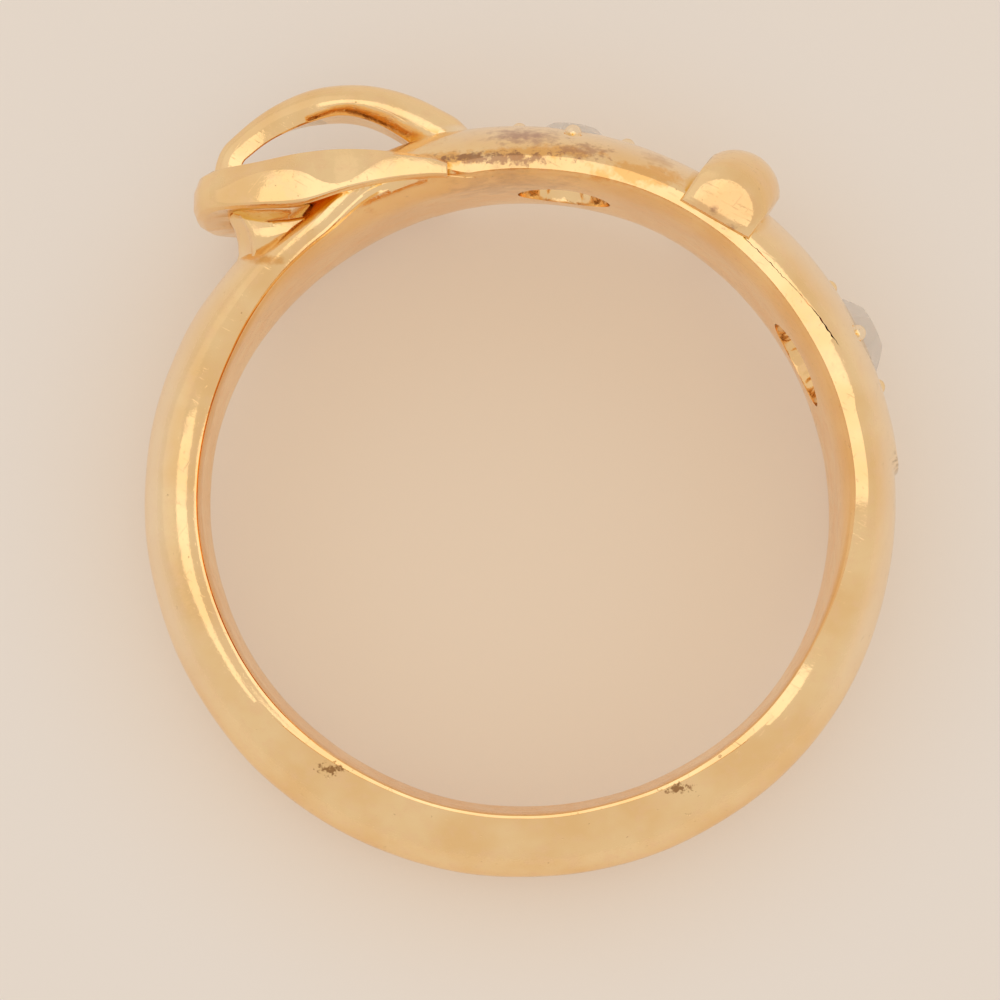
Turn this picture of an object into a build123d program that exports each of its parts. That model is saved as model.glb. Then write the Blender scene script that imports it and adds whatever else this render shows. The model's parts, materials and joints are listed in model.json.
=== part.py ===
"""Antique yellow gold ring in the form of a fastened belt, with two old-cut stones.

The ring is built standing on its own axis: Z runs along the finger, and angles run clockwise from the top, as seen
from +Z. At the end it is laid down on its far side, as it rests by itself on a table. Lengths are millimetres.
"""

import math
import os
from dataclasses import dataclass

from build123d import *

# Finger hole
BORE_RADIUS = 8.66
BORE_LAND = 3.0
BORE_FLARE = 0.22

# Belt
BELT_WIDTH = 6.3
BELT_THICKNESS = 1.70
SHANK_WIDTH = 3.2
SHANK_THICKNESS = 1.78
EDGE_THICKNESS = 0.30
HEAD_START = -27.0
HEAD_END = 85.0
SHANK_START = 126.0
SHANK_END = 278.0
NECK_DIP = 0.14

# Strap end that lies over the belt
STRAP_RISE = 0.13
STRAP_TIP_ANGLE = 86.8
STRAP_TIP_LENGTH = 2.8
SEAM_END_ANGLE = 67.5
SEAM_GAP = 0.07
SEAM_DEPTH = 0.22

# Keeper
KEEPER_ANGLE = 35.2
KEEPER_LENGTH = 2.12
KEEPER_RISE = 1.25
KEEPER_WIDTH = 6.86
KEEPER_END_DROP = 1.16
KEEPER_SHOULDER = 0.62

# Buckle frame, whose long sides run straight across the top of the ring
FRAME_START = 1.9
FRAME_LENGTH = 7.02
FRAME_WIDTH = 7.24
FRAME_DROP = 1.08
RAIL_THICKNESS = 1.0
RAIL_HEIGHT = 1.45
FRONT_BAR_ANGLE = -14.6
FRONT_BAR_LENGTH = 1.3
FRONT_BAR_RISE = 0.33
FRONT_BAR_END_SLOPE = 0.4968
FRONT_BAR_SHOULDER = 0.25

# Neck between the belt and the frame's outer end
NECK_WIDTH = 5.7
NECK_START_ANGLE = -48.8
NECK_END_ANGLE = -40.0
NECK_HOLLOW = 0.2
NECK_TOP_SHARE = 0.9
NECK_END_SHARE = 0.88
NECK_FOOT_TURN = 4.0
NECK_TOE_TURN = 3.0

# Tongue
TONGUE_WIDTH = 1.9
TONGUE_ROOT_WIDTH = 0.9
TONGUE_THICKNESS = 0.92
TONGUE_ROUNDING = 0.38
TONGUE_ROOT_SHARE = 0.873
TONGUE_HEEL_HEIGHT = 0.11
TONGUE_HEEL_BEND = 1.0
TONGUE_TOP_HEIGHT = 1.57
TONGUE_TOP_SHARE = 0.4003
TONGUE_TOP_ARC_SHARE = 0.9903
TONGUE_TIP_SHARE = 0.8547
TONGUE_TIP_DEPTH = 0.06
TONGUE_TIP_BEND = 0.8
TONGUE_END_ANGLE = -8.7

# Stones and their settings
BUCKLE_STONE_ANGLE = 8.4
BUCKLE_STONE_DIAMETER = 2.6
BUCKLE_STONE_STAND = 0.19
TIP_STONE_ANGLE = 63.9
TIP_STONE_DIAMETER = 2.6
TIP_STONE_STAND = 0.42
STONE_CLEARANCE = 0.03
BACK_HOLE_DIAMETER = 2.5
BACK_HOLE_DEPTH = 0.15
GRAIN_RADIUS = 0.24
GRAIN_OUT_SHARE = 0.8
GRAIN_SINK_ALONG = 0.18
GRAIN_SINK_ACROSS = 0.06
GOUGE_RADIUS = 0.26
GOUGE_OUT_SHARE = 1.8
GOUGE_DEPTH = 0.2

# Shares of a stone's diameter
TABLE_SHARE = 0.46
CROWN_SHARE = 0.225
GIRDLE_SHARE = 0.035
PAVILION_SHARE = 0.40
CULET_SHARE = 0.06

BELT_CREST = BORE_RADIUS + BELT_THICKNESS
SHANK_CREST = BORE_RADIUS + SHANK_THICKNESS
FRAME_TOP = BELT_CREST - FRAME_DROP
FAR = 4 * BORE_RADIUS
CLOCKWISE = Axis((0, 0, 0), (0, 0, -1))


@dataclass(frozen=True)
class RailSection:
    """One cross-section of the buckle frame.

    along: place along the frame, as a share of its length from the end that meets the strap
    out: distance of the bar's middle from mid width, as a share of the rails' own
    turn: how far the bar has turned from the rails' direction to the end bar's, in degrees
    low, high: heights of its underside and top, as shares of the rail's height below the frame's top
    """

    along: float
    out: float
    turn: float
    low: float
    high: float


RAIL_SECTIONS = [
    RailSection(along=0.00, out=1.00, turn=0, low=0.45, high=0.12),
    RailSection(along=0.20, out=1.00, turn=0, low=0.56, high=0.00),
    RailSection(along=0.38, out=1.00, turn=0, low=0.75, high=-0.05),
    RailSection(along=0.56, out=1.00, turn=0, low=1.02, high=0.02),
    RailSection(along=0.74, out=0.98, turn=12, low=1.07, high=0.20),
    RailSection(along=0.88, out=0.79, turn=48, low=1.10, high=0.29),
    RailSection(along=0.93, out=0.42, turn=80, low=1.16, high=0.26),
    RailSection(along=0.94, out=0.00, turn=90, low=1.20, high=0.22),
]


@dataclass(frozen=True)
class BeltSection:
    """One cross-section of a shoulder, where the belt narrows to the shank.

    along: place, as a share of the way from the head to the shank
    width: share of the way from the shank's width and thickness to the belt's
    dip: how far its top is worn down, as a share of the neck's dip
    """

    along: float
    width: float
    dip: float = 0.0


TIP_SHOULDER = [
    BeltSection(along=0.00, width=1.00),
    BeltSection(along=0.03, width=1.00),
    BeltSection(along=0.20, width=0.90),
    BeltSection(along=0.40, width=0.65),
    BeltSection(along=0.60, width=0.35),
    BeltSection(along=0.80, width=0.10),
    BeltSection(along=0.97, width=0.00),
    BeltSection(along=1.00, width=0.00),
]

NECK_SHOULDER = [
    BeltSection(along=0.00, width=1.00),
    BeltSection(along=0.02, width=1.00),
    BeltSection(along=0.20, width=0.98, dip=0.60),
    BeltSection(along=0.38, width=0.84, dip=1.00),
    BeltSection(along=0.56, width=0.54, dip=0.55),
    BeltSection(along=0.76, width=0.18, dip=0.20),
    BeltSection(along=0.98, width=0.00),
    BeltSection(along=1.00, width=0.00),
]


def around(angle: float, radius: float, height: float = 0.0) -> Vector:
    """A point at an angle clockwise from the ring's top."""
    a = math.radians(angle)
    return Vector(radius * math.sin(a), radius * math.cos(a), height)


def radial_plane(angle: float) -> Plane:
    """The plane through the finger axis at an angle: x points outwards and y along the axis."""
    return Plane(origin=(0, 0, 0), x_dir=around(angle, 1), z_dir=around(angle + 90, 1))


def flat_plane(angle: float, radius: float) -> Plane:
    """A plane across the finger axis: x runs clockwise round the ring and y outwards."""
    return Plane(origin=around(angle, radius), x_dir=around(angle + 90, 1), z_dir=(0, 0, 1))


def outward_plane(angle: float, radius: float) -> Plane:
    """A plane that touches the ring: x runs clockwise round it, y down the finger axis and z outwards."""
    return Plane(origin=around(angle, radius), x_dir=around(angle + 90, 1), z_dir=around(angle, 1))


def flare(half_width: float) -> float:
    """How far the finger hole's wall has opened at a distance from mid width."""
    run = BELT_WIDTH / 2 - BORE_LAND / 2
    return BORE_FLARE * max(0.0, (half_width - BORE_LAND / 2) / run) ** 2


def belt_section(angle: float, half_width: float, crest: float, rise: float = 0.0) -> Wire:
    """The belt's D-shaped outline in a plane through the axis, closed inside the finger hole. Its top is a parabola."""
    edge = BORE_RADIUS + flare(half_width) + EDGE_THICKNESS + rise
    inner = BORE_RADIUS - BELT_THICKNESS / 2
    peak = 2 * (crest + rise) - edge
    with BuildLine(radial_plane(angle)) as outline:
        Line((inner, -half_width), (inner, half_width))
        Line((inner, half_width), (edge, half_width))
        Bezier((edge, half_width), (peak, 0), (edge, -half_width))
        Line((edge, -half_width), (inner, -half_width))
    return outline.wire()


def shoulder(sections: list[BeltSection], head_angle: float, shank_angle: float) -> Solid:
    """A stretch that narrows from the belt's width to the shank's."""
    outlines = []
    for section in sections:
        angle = head_angle + (shank_angle - head_angle) * section.along
        half_width = (SHANK_WIDTH + (BELT_WIDTH - SHANK_WIDTH) * section.width) / 2
        crest = SHANK_CREST + (BELT_CREST - SHANK_CREST) * section.width - NECK_DIP * section.dip
        outlines.append(belt_section(angle, half_width, crest))
    return Solid.make_loft(outlines)


def belt_blank() -> Part:
    """The whole belt, before the finger hole is cut."""
    head = revolve(make_face(belt_section(HEAD_START, BELT_WIDTH / 2, BELT_CREST)), CLOCKWISE, HEAD_END - HEAD_START)
    shank_face = make_face(belt_section(SHANK_START, SHANK_WIDTH / 2, SHANK_CREST))
    shank = revolve(shank_face, CLOCKWISE, SHANK_END - SHANK_START)
    tip_side = shoulder(TIP_SHOULDER, HEAD_END, SHANK_START)
    neck_side = shoulder(NECK_SHOULDER, HEAD_START + 360, SHANK_END)
    return head + shank + tip_side + neck_side


def strap_end() -> Part:
    """The strap end over the belt, from under the keeper to its round tip."""
    crest = BELT_CREST + STRAP_RISE
    tip_centre = STRAP_TIP_ANGLE - math.degrees(math.asin(STRAP_TIP_LENGTH / crest))
    layer = make_face(belt_section(KEEPER_ANGLE, BELT_WIDTH / 2, BELT_CREST, STRAP_RISE))
    strap = revolve(layer, CLOCKWISE, STRAP_TIP_ANGLE + 1 - KEEPER_ANGLE)
    beyond = Rectangle(2 * STRAP_TIP_LENGTH, 2 * BELT_WIDTH, align=(Align.MIN, Align.CENTER))
    beyond -= Ellipse(STRAP_TIP_LENGTH, BELT_WIDTH / 2)
    waste = extrude(outward_plane(tip_centre, BORE_RADIUS / 2) * beyond, BORE_RADIUS)
    return strap - waste


def side_seam(side: int) -> Part:
    """The dark line along one side, between the belt and the strap end."""
    radius = BORE_RADIUS + BORE_FLARE + EDGE_THICKNESS
    height = side * (BELT_WIDTH / 2 + SEAM_DEPTH / 2)
    line = radial_plane(KEEPER_ANGLE) * Pos(radius, height) * Rectangle(SEAM_GAP, 3 * SEAM_DEPTH)
    return revolve(line, CLOCKWISE, SEAM_END_ANGLE - KEEPER_ANGLE)


def saddle(angle: float, length: float, width: float, crest: float, end_drop: float, shoulder_drop: float) -> Part:
    """A rounded bar bent over the belt, cut flat at both ends.

    Args:
        angle: where it crosses the belt
        length: its size along the belt
        width: its size across the belt, between the flat ends
        crest: radius of its top at mid width
        end_drop: how much lower its top is at the flat ends
        shoulder_drop: how far its long edges are rounded down from its top
    """
    bend = ((width / 2) ** 2 + end_drop**2) / (2 * end_drop)
    inner = bend - shoulder_drop - BELT_THICKNESS
    with BuildSketch() as profile:
        with BuildLine():
            Line((-length / 2, inner), (length / 2, inner))
            Line((length / 2, inner), (length / 2, bend - shoulder_drop))
            ThreePointArc((length / 2, bend - shoulder_drop), (0, bend), (-length / 2, bend - shoulder_drop))
            Line((-length / 2, bend - shoulder_drop), (-length / 2, inner))
        make_face()
    place = flat_plane(angle, crest - bend)
    swing = Axis(place.origin, place.x_dir)
    bar = revolve((place * profile.sketch).rotate(swing, -90), swing, 180)
    slab = Box(FAR, FAR, width)
    return bar & slab


def keeper() -> Part:
    """The loop that holds the strap end down."""
    return saddle(KEEPER_ANGLE, KEEPER_LENGTH, KEEPER_WIDTH, BELT_CREST + KEEPER_RISE, KEEPER_END_DROP, KEEPER_SHOULDER)


def front_bar() -> Part:
    """The low bar of the buckle frame that crosses over the strap."""
    crest = BELT_CREST + FRONT_BAR_RISE
    width = FRAME_WIDTH - RAIL_THICKNESS
    end_drop = FRONT_BAR_END_SLOPE * width / 2
    return saddle(FRONT_BAR_ANGLE, FRONT_BAR_LENGTH, width, crest, end_drop, FRONT_BAR_SHOULDER)


def rail_outline(section: RailSection, side: int) -> Wire:
    """The frame's six-sided cross-section at one place, on the near side (1) or the far side (-1)."""
    turn = math.radians(section.turn)
    outward = Vector(-math.sin(turn), 0, side * math.cos(turn))
    middle = Vector(-FRAME_START - section.along * FRAME_LENGTH, 0, side * section.out * (FRAME_WIDTH - RAIL_THICKNESS) / 2)
    low = FRAME_TOP - section.low * RAIL_HEIGHT
    high = FRAME_TOP - section.high * RAIL_HEIGHT
    tall = high - low
    corners = [(-0.5, low + 0.05 * tall), (0.3, low), (0.5, low + 0.3 * tall), (0.42, high - 0.32 * tall),
               (0.05, high), (-0.5, high - 0.12 * tall)]
    points = [middle + outward * (across * RAIL_THICKNESS) + Vector(0, height, 0) for across, height in corners]
    return Wire.make_polygon(points, close=True)


def buckle_rails() -> Solid:
    """Both rails and the outer end bar, as one bar bent to a U."""
    near = [rail_outline(section, 1) for section in RAIL_SECTIONS]
    far = [rail_outline(section, -1) for section in reversed(RAIL_SECTIONS[:-1])]
    return Solid.make_loft(near + far, ruled=True)


def neck() -> Part:
    """The block that joins the belt's crest and sides to the frame's outer end."""
    under = FRAME_TOP - NECK_TOP_SHARE * RAIL_HEIGHT
    outer_end = -FRAME_START - NECK_END_SHARE * FRAME_LENGTH
    foot = around(NECK_START_ANGLE, BELT_CREST - NECK_DIP)
    inner_foot = around(NECK_START_ANGLE + NECK_FOOT_TURN, BORE_RADIUS + EDGE_THICKNESS)
    toe = around(NECK_END_ANGLE + NECK_TOE_TURN, BORE_RADIUS + EDGE_THICKNESS)
    top = around(NECK_END_ANGLE, BELT_CREST - BELT_THICKNESS / 4)
    hollow = ((foot.X + outer_end) / 2 + NECK_HOLLOW, (foot.Y + under) / 2)
    with BuildSketch() as profile:
        with BuildLine():
            Polyline((foot.X, foot.Y), (inner_foot.X, inner_foot.Y), (toe.X, toe.Y), (top.X, top.Y), (top.X, under),
                     (outer_end, under))
            ThreePointArc((outer_end, under), hollow, (foot.X, foot.Y))
        make_face()
    return extrude(profile.sketch, NECK_WIDTH / 2, both=True)


def tongue() -> Part:
    """The arched tongue, from the frame's outer end bar over to the strap behind the front bar."""
    root = (-FRAME_START - TONGUE_ROOT_SHARE * FRAME_LENGTH, FRAME_TOP - RAIL_HEIGHT / 2)
    heel = (root[0], FRAME_TOP + TONGUE_HEEL_HEIGHT)
    top = (root[0] + TONGUE_TOP_SHARE * FRAME_LENGTH, BELT_CREST + TONGUE_TOP_HEIGHT)
    tip = (root[0] + TONGUE_TIP_SHARE * FRAME_LENGTH, BELT_CREST - TONGUE_TIP_DEPTH)
    landing = around(TONGUE_END_ANGLE, BELT_CREST - TONGUE_THICKNESS / 2)
    climb = math.atan2(top[1] - heel[1], top[0] - heel[0])
    fall = math.atan2(top[1] - tip[1], tip[0] - top[0])
    room = math.dist(heel, top) - TONGUE_HEEL_BEND * math.tan((math.pi / 2 - climb) / 2)
    top_bend = TONGUE_TOP_ARC_SHARE * room / math.tan((climb + fall) / 2)
    bends = [TONGUE_HEEL_BEND, top_bend, TONGUE_TIP_BEND]
    route = FilletPolyline(root, heel, top, tip, (landing.X, landing.Y), radius=bends)
    section = Rectangle(TONGUE_WIDTH, TONGUE_THICKNESS)
    section = fillet(section.vertices().group_by(Axis.Y)[-1], TONGUE_ROUNDING)
    section = fillet(section.vertices().group_by(Axis.Y)[0], TONGUE_ROUNDING / 2)
    start = Plane(origin=route @ 0, x_dir=(0, 0, -1), z_dir=route % 0)
    whole = sweep(start * section, path=route)
    return whole & tongue_plan(root[0], top[0])


def tongue_plan(root: float, top: float) -> Part:
    """A tall block with the tongue's outline as seen from above: narrow at its root and full from its top on."""
    half, root_half = TONGUE_WIDTH / 2, TONGUE_ROOT_WIDTH / 2
    back = root - TONGUE_THICKNESS
    corners = [(back, root_half), (root, root_half), (top, half), (TONGUE_WIDTH, half)]
    corners += [(x, -z) for x, z in reversed(corners)]
    outline = make_face(Polyline(*corners, close=True))
    return extrude(Plane(origin=(0, 0, 0), x_dir=(1, 0, 0), z_dir=(0, -1, 0)) * outline, -2 * FAR)


@dataclass(frozen=True)
class Stone:
    """An old-cut stone and its place on the belt."""

    angle: float
    diameter: float
    surface: float
    stand: float

    @property
    def table(self) -> float:
        """Radius, from the finger axis, of its table."""
        return self.surface + self.stand

    @property
    def girdle_top(self) -> float:
        """Radius, from the finger axis, of its girdle's upper edge."""
        return self.table - CROWN_SHARE * self.diameter

    @property
    def girdle_low(self) -> float:
        """Radius, from the finger axis, of its girdle's lower edge."""
        return self.girdle_top - GIRDLE_SHARE * self.diameter

    @property
    def culet(self) -> float:
        """Radius, from the finger axis, of its lowest facet."""
        return self.girdle_low - PAVILION_SHARE * self.diameter


STONES = {
    "stone_by_buckle": Stone(BUCKLE_STONE_ANGLE, BUCKLE_STONE_DIAMETER, BELT_CREST, BUCKLE_STONE_STAND),
    "stone_by_tip": Stone(TIP_STONE_ANGLE, TIP_STONE_DIAMETER, BELT_CREST + STRAP_RISE, TIP_STONE_STAND),
}


def cut_facets(stone: Part, count: int, turn: float, radius: float, height: float, slope: float) -> Part:
    """Cuts a ring of flat facets.

    Args:
        stone: the stone so far, standing on Z
        count: facets in the ring
        turn: direction of the first, in degrees
        radius, height: the point in its middle plane that each facet passes through
        slope: its angle to the girdle's plane, in degrees, positive on the crown and negative on the pavilion
    """
    tilt = math.radians(abs(slope))
    up = math.copysign(math.cos(tilt), slope)
    for index in range(count):
        a = math.radians(turn + index * 360 / count)
        normal = (math.sin(tilt) * math.cos(a), math.sin(tilt) * math.sin(a), up)
        through = (radius * math.cos(a), radius * math.sin(a), height)
        stone = split(stone, bisect_by=Plane(origin=through, z_dir=normal), keep=Keep.BOTTOM)
    return stone


def old_cut(shape: Stone) -> Part:
    """A round old-cut stone: table, 8 stars, 8 mains and 16 halves above, 16 halves, 8 mains and a culet below."""
    r = shape.diameter / 2
    crown = CROWN_SHARE * shape.diameter
    girdle = GIRDLE_SHARE * shape.diameter
    pavilion = PAVILION_SHARE * shape.diameter
    table_r = TABLE_SHARE * r
    culet_r = CULET_SHARE * r
    crown_slope = math.degrees(math.atan2(crown, r - table_r))
    pavilion_slope = math.degrees(math.atan2(pavilion, r - culet_r))
    stone = Pos(0, 0, -pavilion - girdle) * Cylinder(
        r, pavilion + girdle + crown, align=(Align.CENTER, Align.CENTER, Align.MIN)
    )
    stone = cut_facets(stone, 8, 0, r, 0, crown_slope)
    stone = cut_facets(stone, 16, 11.25, r * 0.995, 0, crown_slope + 5)
    stone = cut_facets(stone, 8, 22.5, table_r * 1.04, crown, crown_slope - 14)
    stone = cut_facets(stone, 8, 0, culet_r, -pavilion - girdle, -pavilion_slope)
    stone = cut_facets(stone, 16, 11.25, r * 0.995, -girdle, -pavilion_slope - 2.5)
    return outward_plane(shape.angle, shape.girdle_top) * stone


def seat(shape: Stone) -> Part:
    """What is cut from the gold for one stone: its seat and the open back that widens to the finger hole."""
    r = shape.diameter / 2 + STONE_CLEARANCE
    back_r = BACK_HOLE_DIAMETER / 2
    throat_r = 0.76 * r
    throat = shape.girdle_low - (r - throat_r) * PAVILION_SHARE / (0.5 - CULET_SHARE / 2) - 3 * STONE_CLEARANCE
    with BuildSketch(Plane.XZ) as profile:
        with BuildLine():
            Polyline((0, BORE_RADIUS - 1), (back_r, BORE_RADIUS - 1), (back_r, BORE_RADIUS + BACK_HOLE_DEPTH), (throat_r, throat),
                     (r, shape.girdle_low - STONE_CLEARANCE), (r, shape.table + 1), (0, shape.table + 1),
                     (0, BORE_RADIUS - 1))
        make_face()
    return outward_plane(shape.angle, 0) * revolve(profile.sketch, Axis.Z, 360)


def dome_height(across: float, rise: float) -> float:
    """Radius of the belt's outer face at a distance from mid width."""
    drop = BELT_THICKNESS - BORE_FLARE - EDGE_THICKNESS
    return BELT_CREST + rise - drop * (2 * across / BELT_WIDTH) ** 2


def grains(shape: Stone) -> Part:
    """Four small beads of gold pushed over the stone's edge, clear of the stone itself."""
    r = shape.diameter / 2 + STONE_CLEARANCE
    table_r = TABLE_SHARE * shape.diameter / 2 / math.cos(math.pi / 8) + 2 * STONE_CLEARANCE
    table = shape.table + 2 * STONE_CLEARANCE
    rise = shape.surface - BELT_CREST
    with BuildSketch(Plane.XZ) as profile:
        with BuildLine():
            Polyline((0, shape.culet), (r, shape.culet), (r, shape.girdle_top + 2 * STONE_CLEARANCE), (table_r, table),
                     (0, table), (0, shape.culet))
        make_face()
    envelope = revolve(profile.sketch, Axis.Z, 360)
    reach = r + GRAIN_OUT_SHARE * GRAIN_RADIUS
    along = dome_height(0, rise) - GRAIN_SINK_ALONG
    across = max(dome_height(reach, rise), shape.girdle_top) - GRAIN_SINK_ACROSS
    beads = Part()
    for index, height in enumerate((along, across, along, across)):
        beads += Rot(0, 0, 90 * index) * Pos(reach, 0, height) * Sphere(GRAIN_RADIUS)
    return outward_plane(shape.angle, 0) * (beads - envelope)


def gouges(shape: Stone) -> Part:
    """The four cuts that the beads were raised from, a little way out from the stone."""
    reach = shape.diameter / 2 + GOUGE_OUT_SHARE * GRAIN_RADIUS + GOUGE_RADIUS
    rise = shape.surface - BELT_CREST
    cuts = Part()
    for index in range(4):
        height = dome_height(reach * (index % 2), rise) + GOUGE_RADIUS - GOUGE_DEPTH
        cuts += Rot(0, 0, 90 * index) * Pos(reach, 0, height) * Sphere(GOUGE_RADIUS)
    return outward_plane(shape.angle, 0) * cuts


def finger_hole() -> Part:
    """The finger hole: a true cylinder at mid width that opens gently towards the belt's edges."""
    land = BORE_LAND / 2
    run = BELT_WIDTH / 2 - land
    bend = (run**2 + BORE_FLARE**2) / (2 * BORE_FLARE)
    lip = land + 1.2 * run
    lip_radius = BORE_RADIUS + bend - math.sqrt(bend**2 - (1.2 * run) ** 2)
    with BuildSketch(Plane.XZ) as profile:
        with BuildLine():
            Line((BORE_RADIUS, land), (BORE_RADIUS, -land))
            TangentArc((BORE_RADIUS, land), (lip_radius, lip), tangent=(0, 1))
            TangentArc((BORE_RADIUS, -land), (lip_radius, -lip), tangent=(0, -1))
            Polyline((lip_radius, lip), (BELT_CREST, FRAME_WIDTH), (0, FRAME_WIDTH), (0, -FRAME_WIDTH),
                     (BELT_CREST, -FRAME_WIDTH), (lip_radius, -lip))
        make_face()
    return revolve(profile.sketch, Axis.Z, 360)


def belt_and_buckle() -> Part:
    """All the gold, soldered into one."""
    gold = belt_blank() + strap_end()
    for side in (1, -1):
        gold -= side_seam(side)
    buckle = neck() + buckle_rails() + front_bar()
    gold += keeper() + buckle
    gold += tongue()
    gold -= finger_hole()
    for stone in STONES.values():
        gold -= seat(stone) + gouges(stone)
        gold += grains(stone)
    return gold


def contacts(gold: Part) -> list[Vector]:
    """The three points that the ring rests on when it lies on its far side.

    They are at the buckle, at the belt's other shoulder and at the back, because the belt is wider than the shank.
    """
    steps = 8
    points = [edge @ (step / steps) for edge in gold.edges() for step in range(steps + 1)]
    touching = [
        min(points, key=lambda p, a=angle: p.Z - p.dot(around(a, 1)))
        for angle in (HEAD_START, HEAD_END, (SHANK_START + SHANK_END) / 2)
    ]
    for _ in range(50):
        normal = (touching[1] - touching[0]).cross(touching[2] - touching[0])
        normal = normal if normal.Z > 0 else -normal
        lowest = min(points, key=lambda p: (p - touching[0]).dot(normal))
        if (lowest - touching[0]).dot(normal) > -1e-9:
            break
        nearest = min(range(3), key=lambda i: (touching[i] - lowest).length)
        touching[nearest] = lowest
    return touching


def lay_down(solids: dict[str, Part]) -> dict[str, Part]:
    """Turns the ring about the middle of its finger hole, so that it lies as it rests by itself."""
    first, second, third = contacts(solids["belt_and_buckle"])
    up = (second - first).cross(third - first).normalized()
    up = up if up.Z > 0 else -up
    hinge = Axis((0, 0, 0), up.cross(Vector(0, 0, 1)))
    tilt = up.get_angle(Vector(0, 0, 1))
    finger = Vector(0, 0, 1).rotate(hinge, tilt)
    print("tilt", round(tilt, 3), "finger axis", [round(c, 6) for c in finger])
    return {name: solid.rotate(hinge, tilt) for name, solid in solids.items()}


def main() -> None:
    """Builds and writes each solid."""
    os.makedirs("parts", exist_ok=True)
    solids = {"belt_and_buckle": belt_and_buckle()}
    for name, shape in STONES.items():
        solids[name] = old_cut(shape)
    for name, solid in lay_down(solids).items():
        export_step(solid, f"parts/{name}.step")
        print(name, round(solid.volume, 3), "mm3", len(solid.solids()), "solid", len(solid.faces()), "faces")


main()
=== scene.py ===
"""The looks of an antique gold ring in the form of a fastened belt, with two old-cut stones.

Shapes are worked out in the ring's own frame, in millimetres: X to the right of the picture, Y up it, Z
along the finger towards the camera, and angles clockwise from Y. They are laid down into the row's frame,
in metres, at the end.
"""

import json
import logging
import math
from dataclasses import dataclass, field
from enum import Enum
from typing import Iterable

import bmesh
import bpy
import numpy as np
from mathutils import Matrix, Vector, noise
from mathutils.bvhtree import BVHTree

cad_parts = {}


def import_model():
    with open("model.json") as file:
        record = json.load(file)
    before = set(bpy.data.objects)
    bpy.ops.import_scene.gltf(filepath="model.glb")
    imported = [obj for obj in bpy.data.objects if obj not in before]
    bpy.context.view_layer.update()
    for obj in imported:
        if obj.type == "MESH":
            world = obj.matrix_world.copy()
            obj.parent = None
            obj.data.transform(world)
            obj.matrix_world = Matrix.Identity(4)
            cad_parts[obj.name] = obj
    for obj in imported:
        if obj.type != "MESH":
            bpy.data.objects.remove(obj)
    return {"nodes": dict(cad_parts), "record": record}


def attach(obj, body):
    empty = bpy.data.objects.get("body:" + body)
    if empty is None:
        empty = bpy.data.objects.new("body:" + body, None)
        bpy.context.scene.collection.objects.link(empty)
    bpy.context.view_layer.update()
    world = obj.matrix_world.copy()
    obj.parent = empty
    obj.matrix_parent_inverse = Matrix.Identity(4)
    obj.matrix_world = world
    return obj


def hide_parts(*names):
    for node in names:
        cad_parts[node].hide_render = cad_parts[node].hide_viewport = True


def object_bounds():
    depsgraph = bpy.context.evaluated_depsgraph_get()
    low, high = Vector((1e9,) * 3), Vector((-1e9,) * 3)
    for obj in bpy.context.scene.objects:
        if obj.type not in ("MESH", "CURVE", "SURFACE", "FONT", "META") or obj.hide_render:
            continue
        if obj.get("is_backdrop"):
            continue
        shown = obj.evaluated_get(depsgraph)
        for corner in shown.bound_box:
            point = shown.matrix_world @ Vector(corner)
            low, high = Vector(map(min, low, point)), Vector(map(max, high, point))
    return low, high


log = logging.getLogger("ring")

MM = 0.001
TAU = 2 * math.pi

Colour = tuple[float, float, float, float]
Triple = tuple[float, float, float]
Pair = tuple[float, float]
Row = tuple[float, ...]
Socket = bpy.types.NodeSocket
Piece = bpy.types.Object
BMesh = bmesh.types.BMesh
BEdge = bmesh.types.BMEdge


class Slot(Enum):
    """The record's material slots."""

    GOLD = "gold"
    STONE = "stone"


def linear(red: int, green: int, blue: int) -> Colour:
    """A screen colour, 0 to 255 a channel, as a shader takes it."""
    shares = [channel / 255 for channel in (red, green, blue)]
    curve = [s / 12.92 if s <= 0.04045 else ((s + 0.055) / 1.055) ** 2.4 for s in shares]
    return (curve[0], curve[1], curve[2], 1.0)


def smooth_step(share: np.ndarray | float) -> np.ndarray | float:
    """A soft step from 0 to 1 over shares from 0 to 1."""
    s = np.clip(share, 0.0, 1.0)
    return s * s * (3 - 2 * s)


def ramp(at: np.ndarray | float, start: float, run: float) -> np.ndarray | float:
    """A soft step from 0 at a start to 1 after a run, which is negative if it goes down."""
    return smooth_step((at - start) / run)


def soft_table(
    at: np.ndarray | float, places: Iterable[float], values: Iterable[float]
) -> np.ndarray | float:
    """Reads a short table with soft steps between its rows.

    Args:
        at: where to read it
        places: rising places of the rows
        values: one value for each row

    Returns:
        The value at each place.
    """
    x, y = np.asarray(list(places)), np.asarray(list(values))
    slopes = np.gradient(y, x)
    at_all = np.clip(np.atleast_1d(at), x[0], x[-1])
    row = np.clip(np.searchsorted(x, at_all, side="right") - 1, 0, len(x) - 2)
    run = x[row + 1] - x[row]
    t = (at_all - x[row]) / run
    h = (
        (1 + 2 * t) * (1 - t) ** 2 * y[row]
        + t * (1 - t) ** 2 * run * slopes[row]
        + t * t * (3 - 2 * t) * y[row + 1]
        + t * t * (t - 1) * run * slopes[row + 1]
    )
    return h if np.ndim(at) else float(h[0])


def around(angle: float, radius: float, height: float = 0.0) -> Vector:
    """A point at an angle, in degrees clockwise from the ring's top."""
    a = math.radians(angle)
    return Vector((radius * math.sin(a), radius * math.cos(a), height))


def outward_matrix(angle: float, radius: float) -> Matrix:
    """Places a part modelled on Z at an angle: x runs clockwise, y down the finger and z outwards."""
    along = around(angle + 90, 1.0)
    out = around(angle, 1.0)
    across = out.cross(along)
    turn = Matrix((along, across, out)).transposed().to_4x4()
    return Matrix.Translation(out * radius) @ turn


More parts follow.
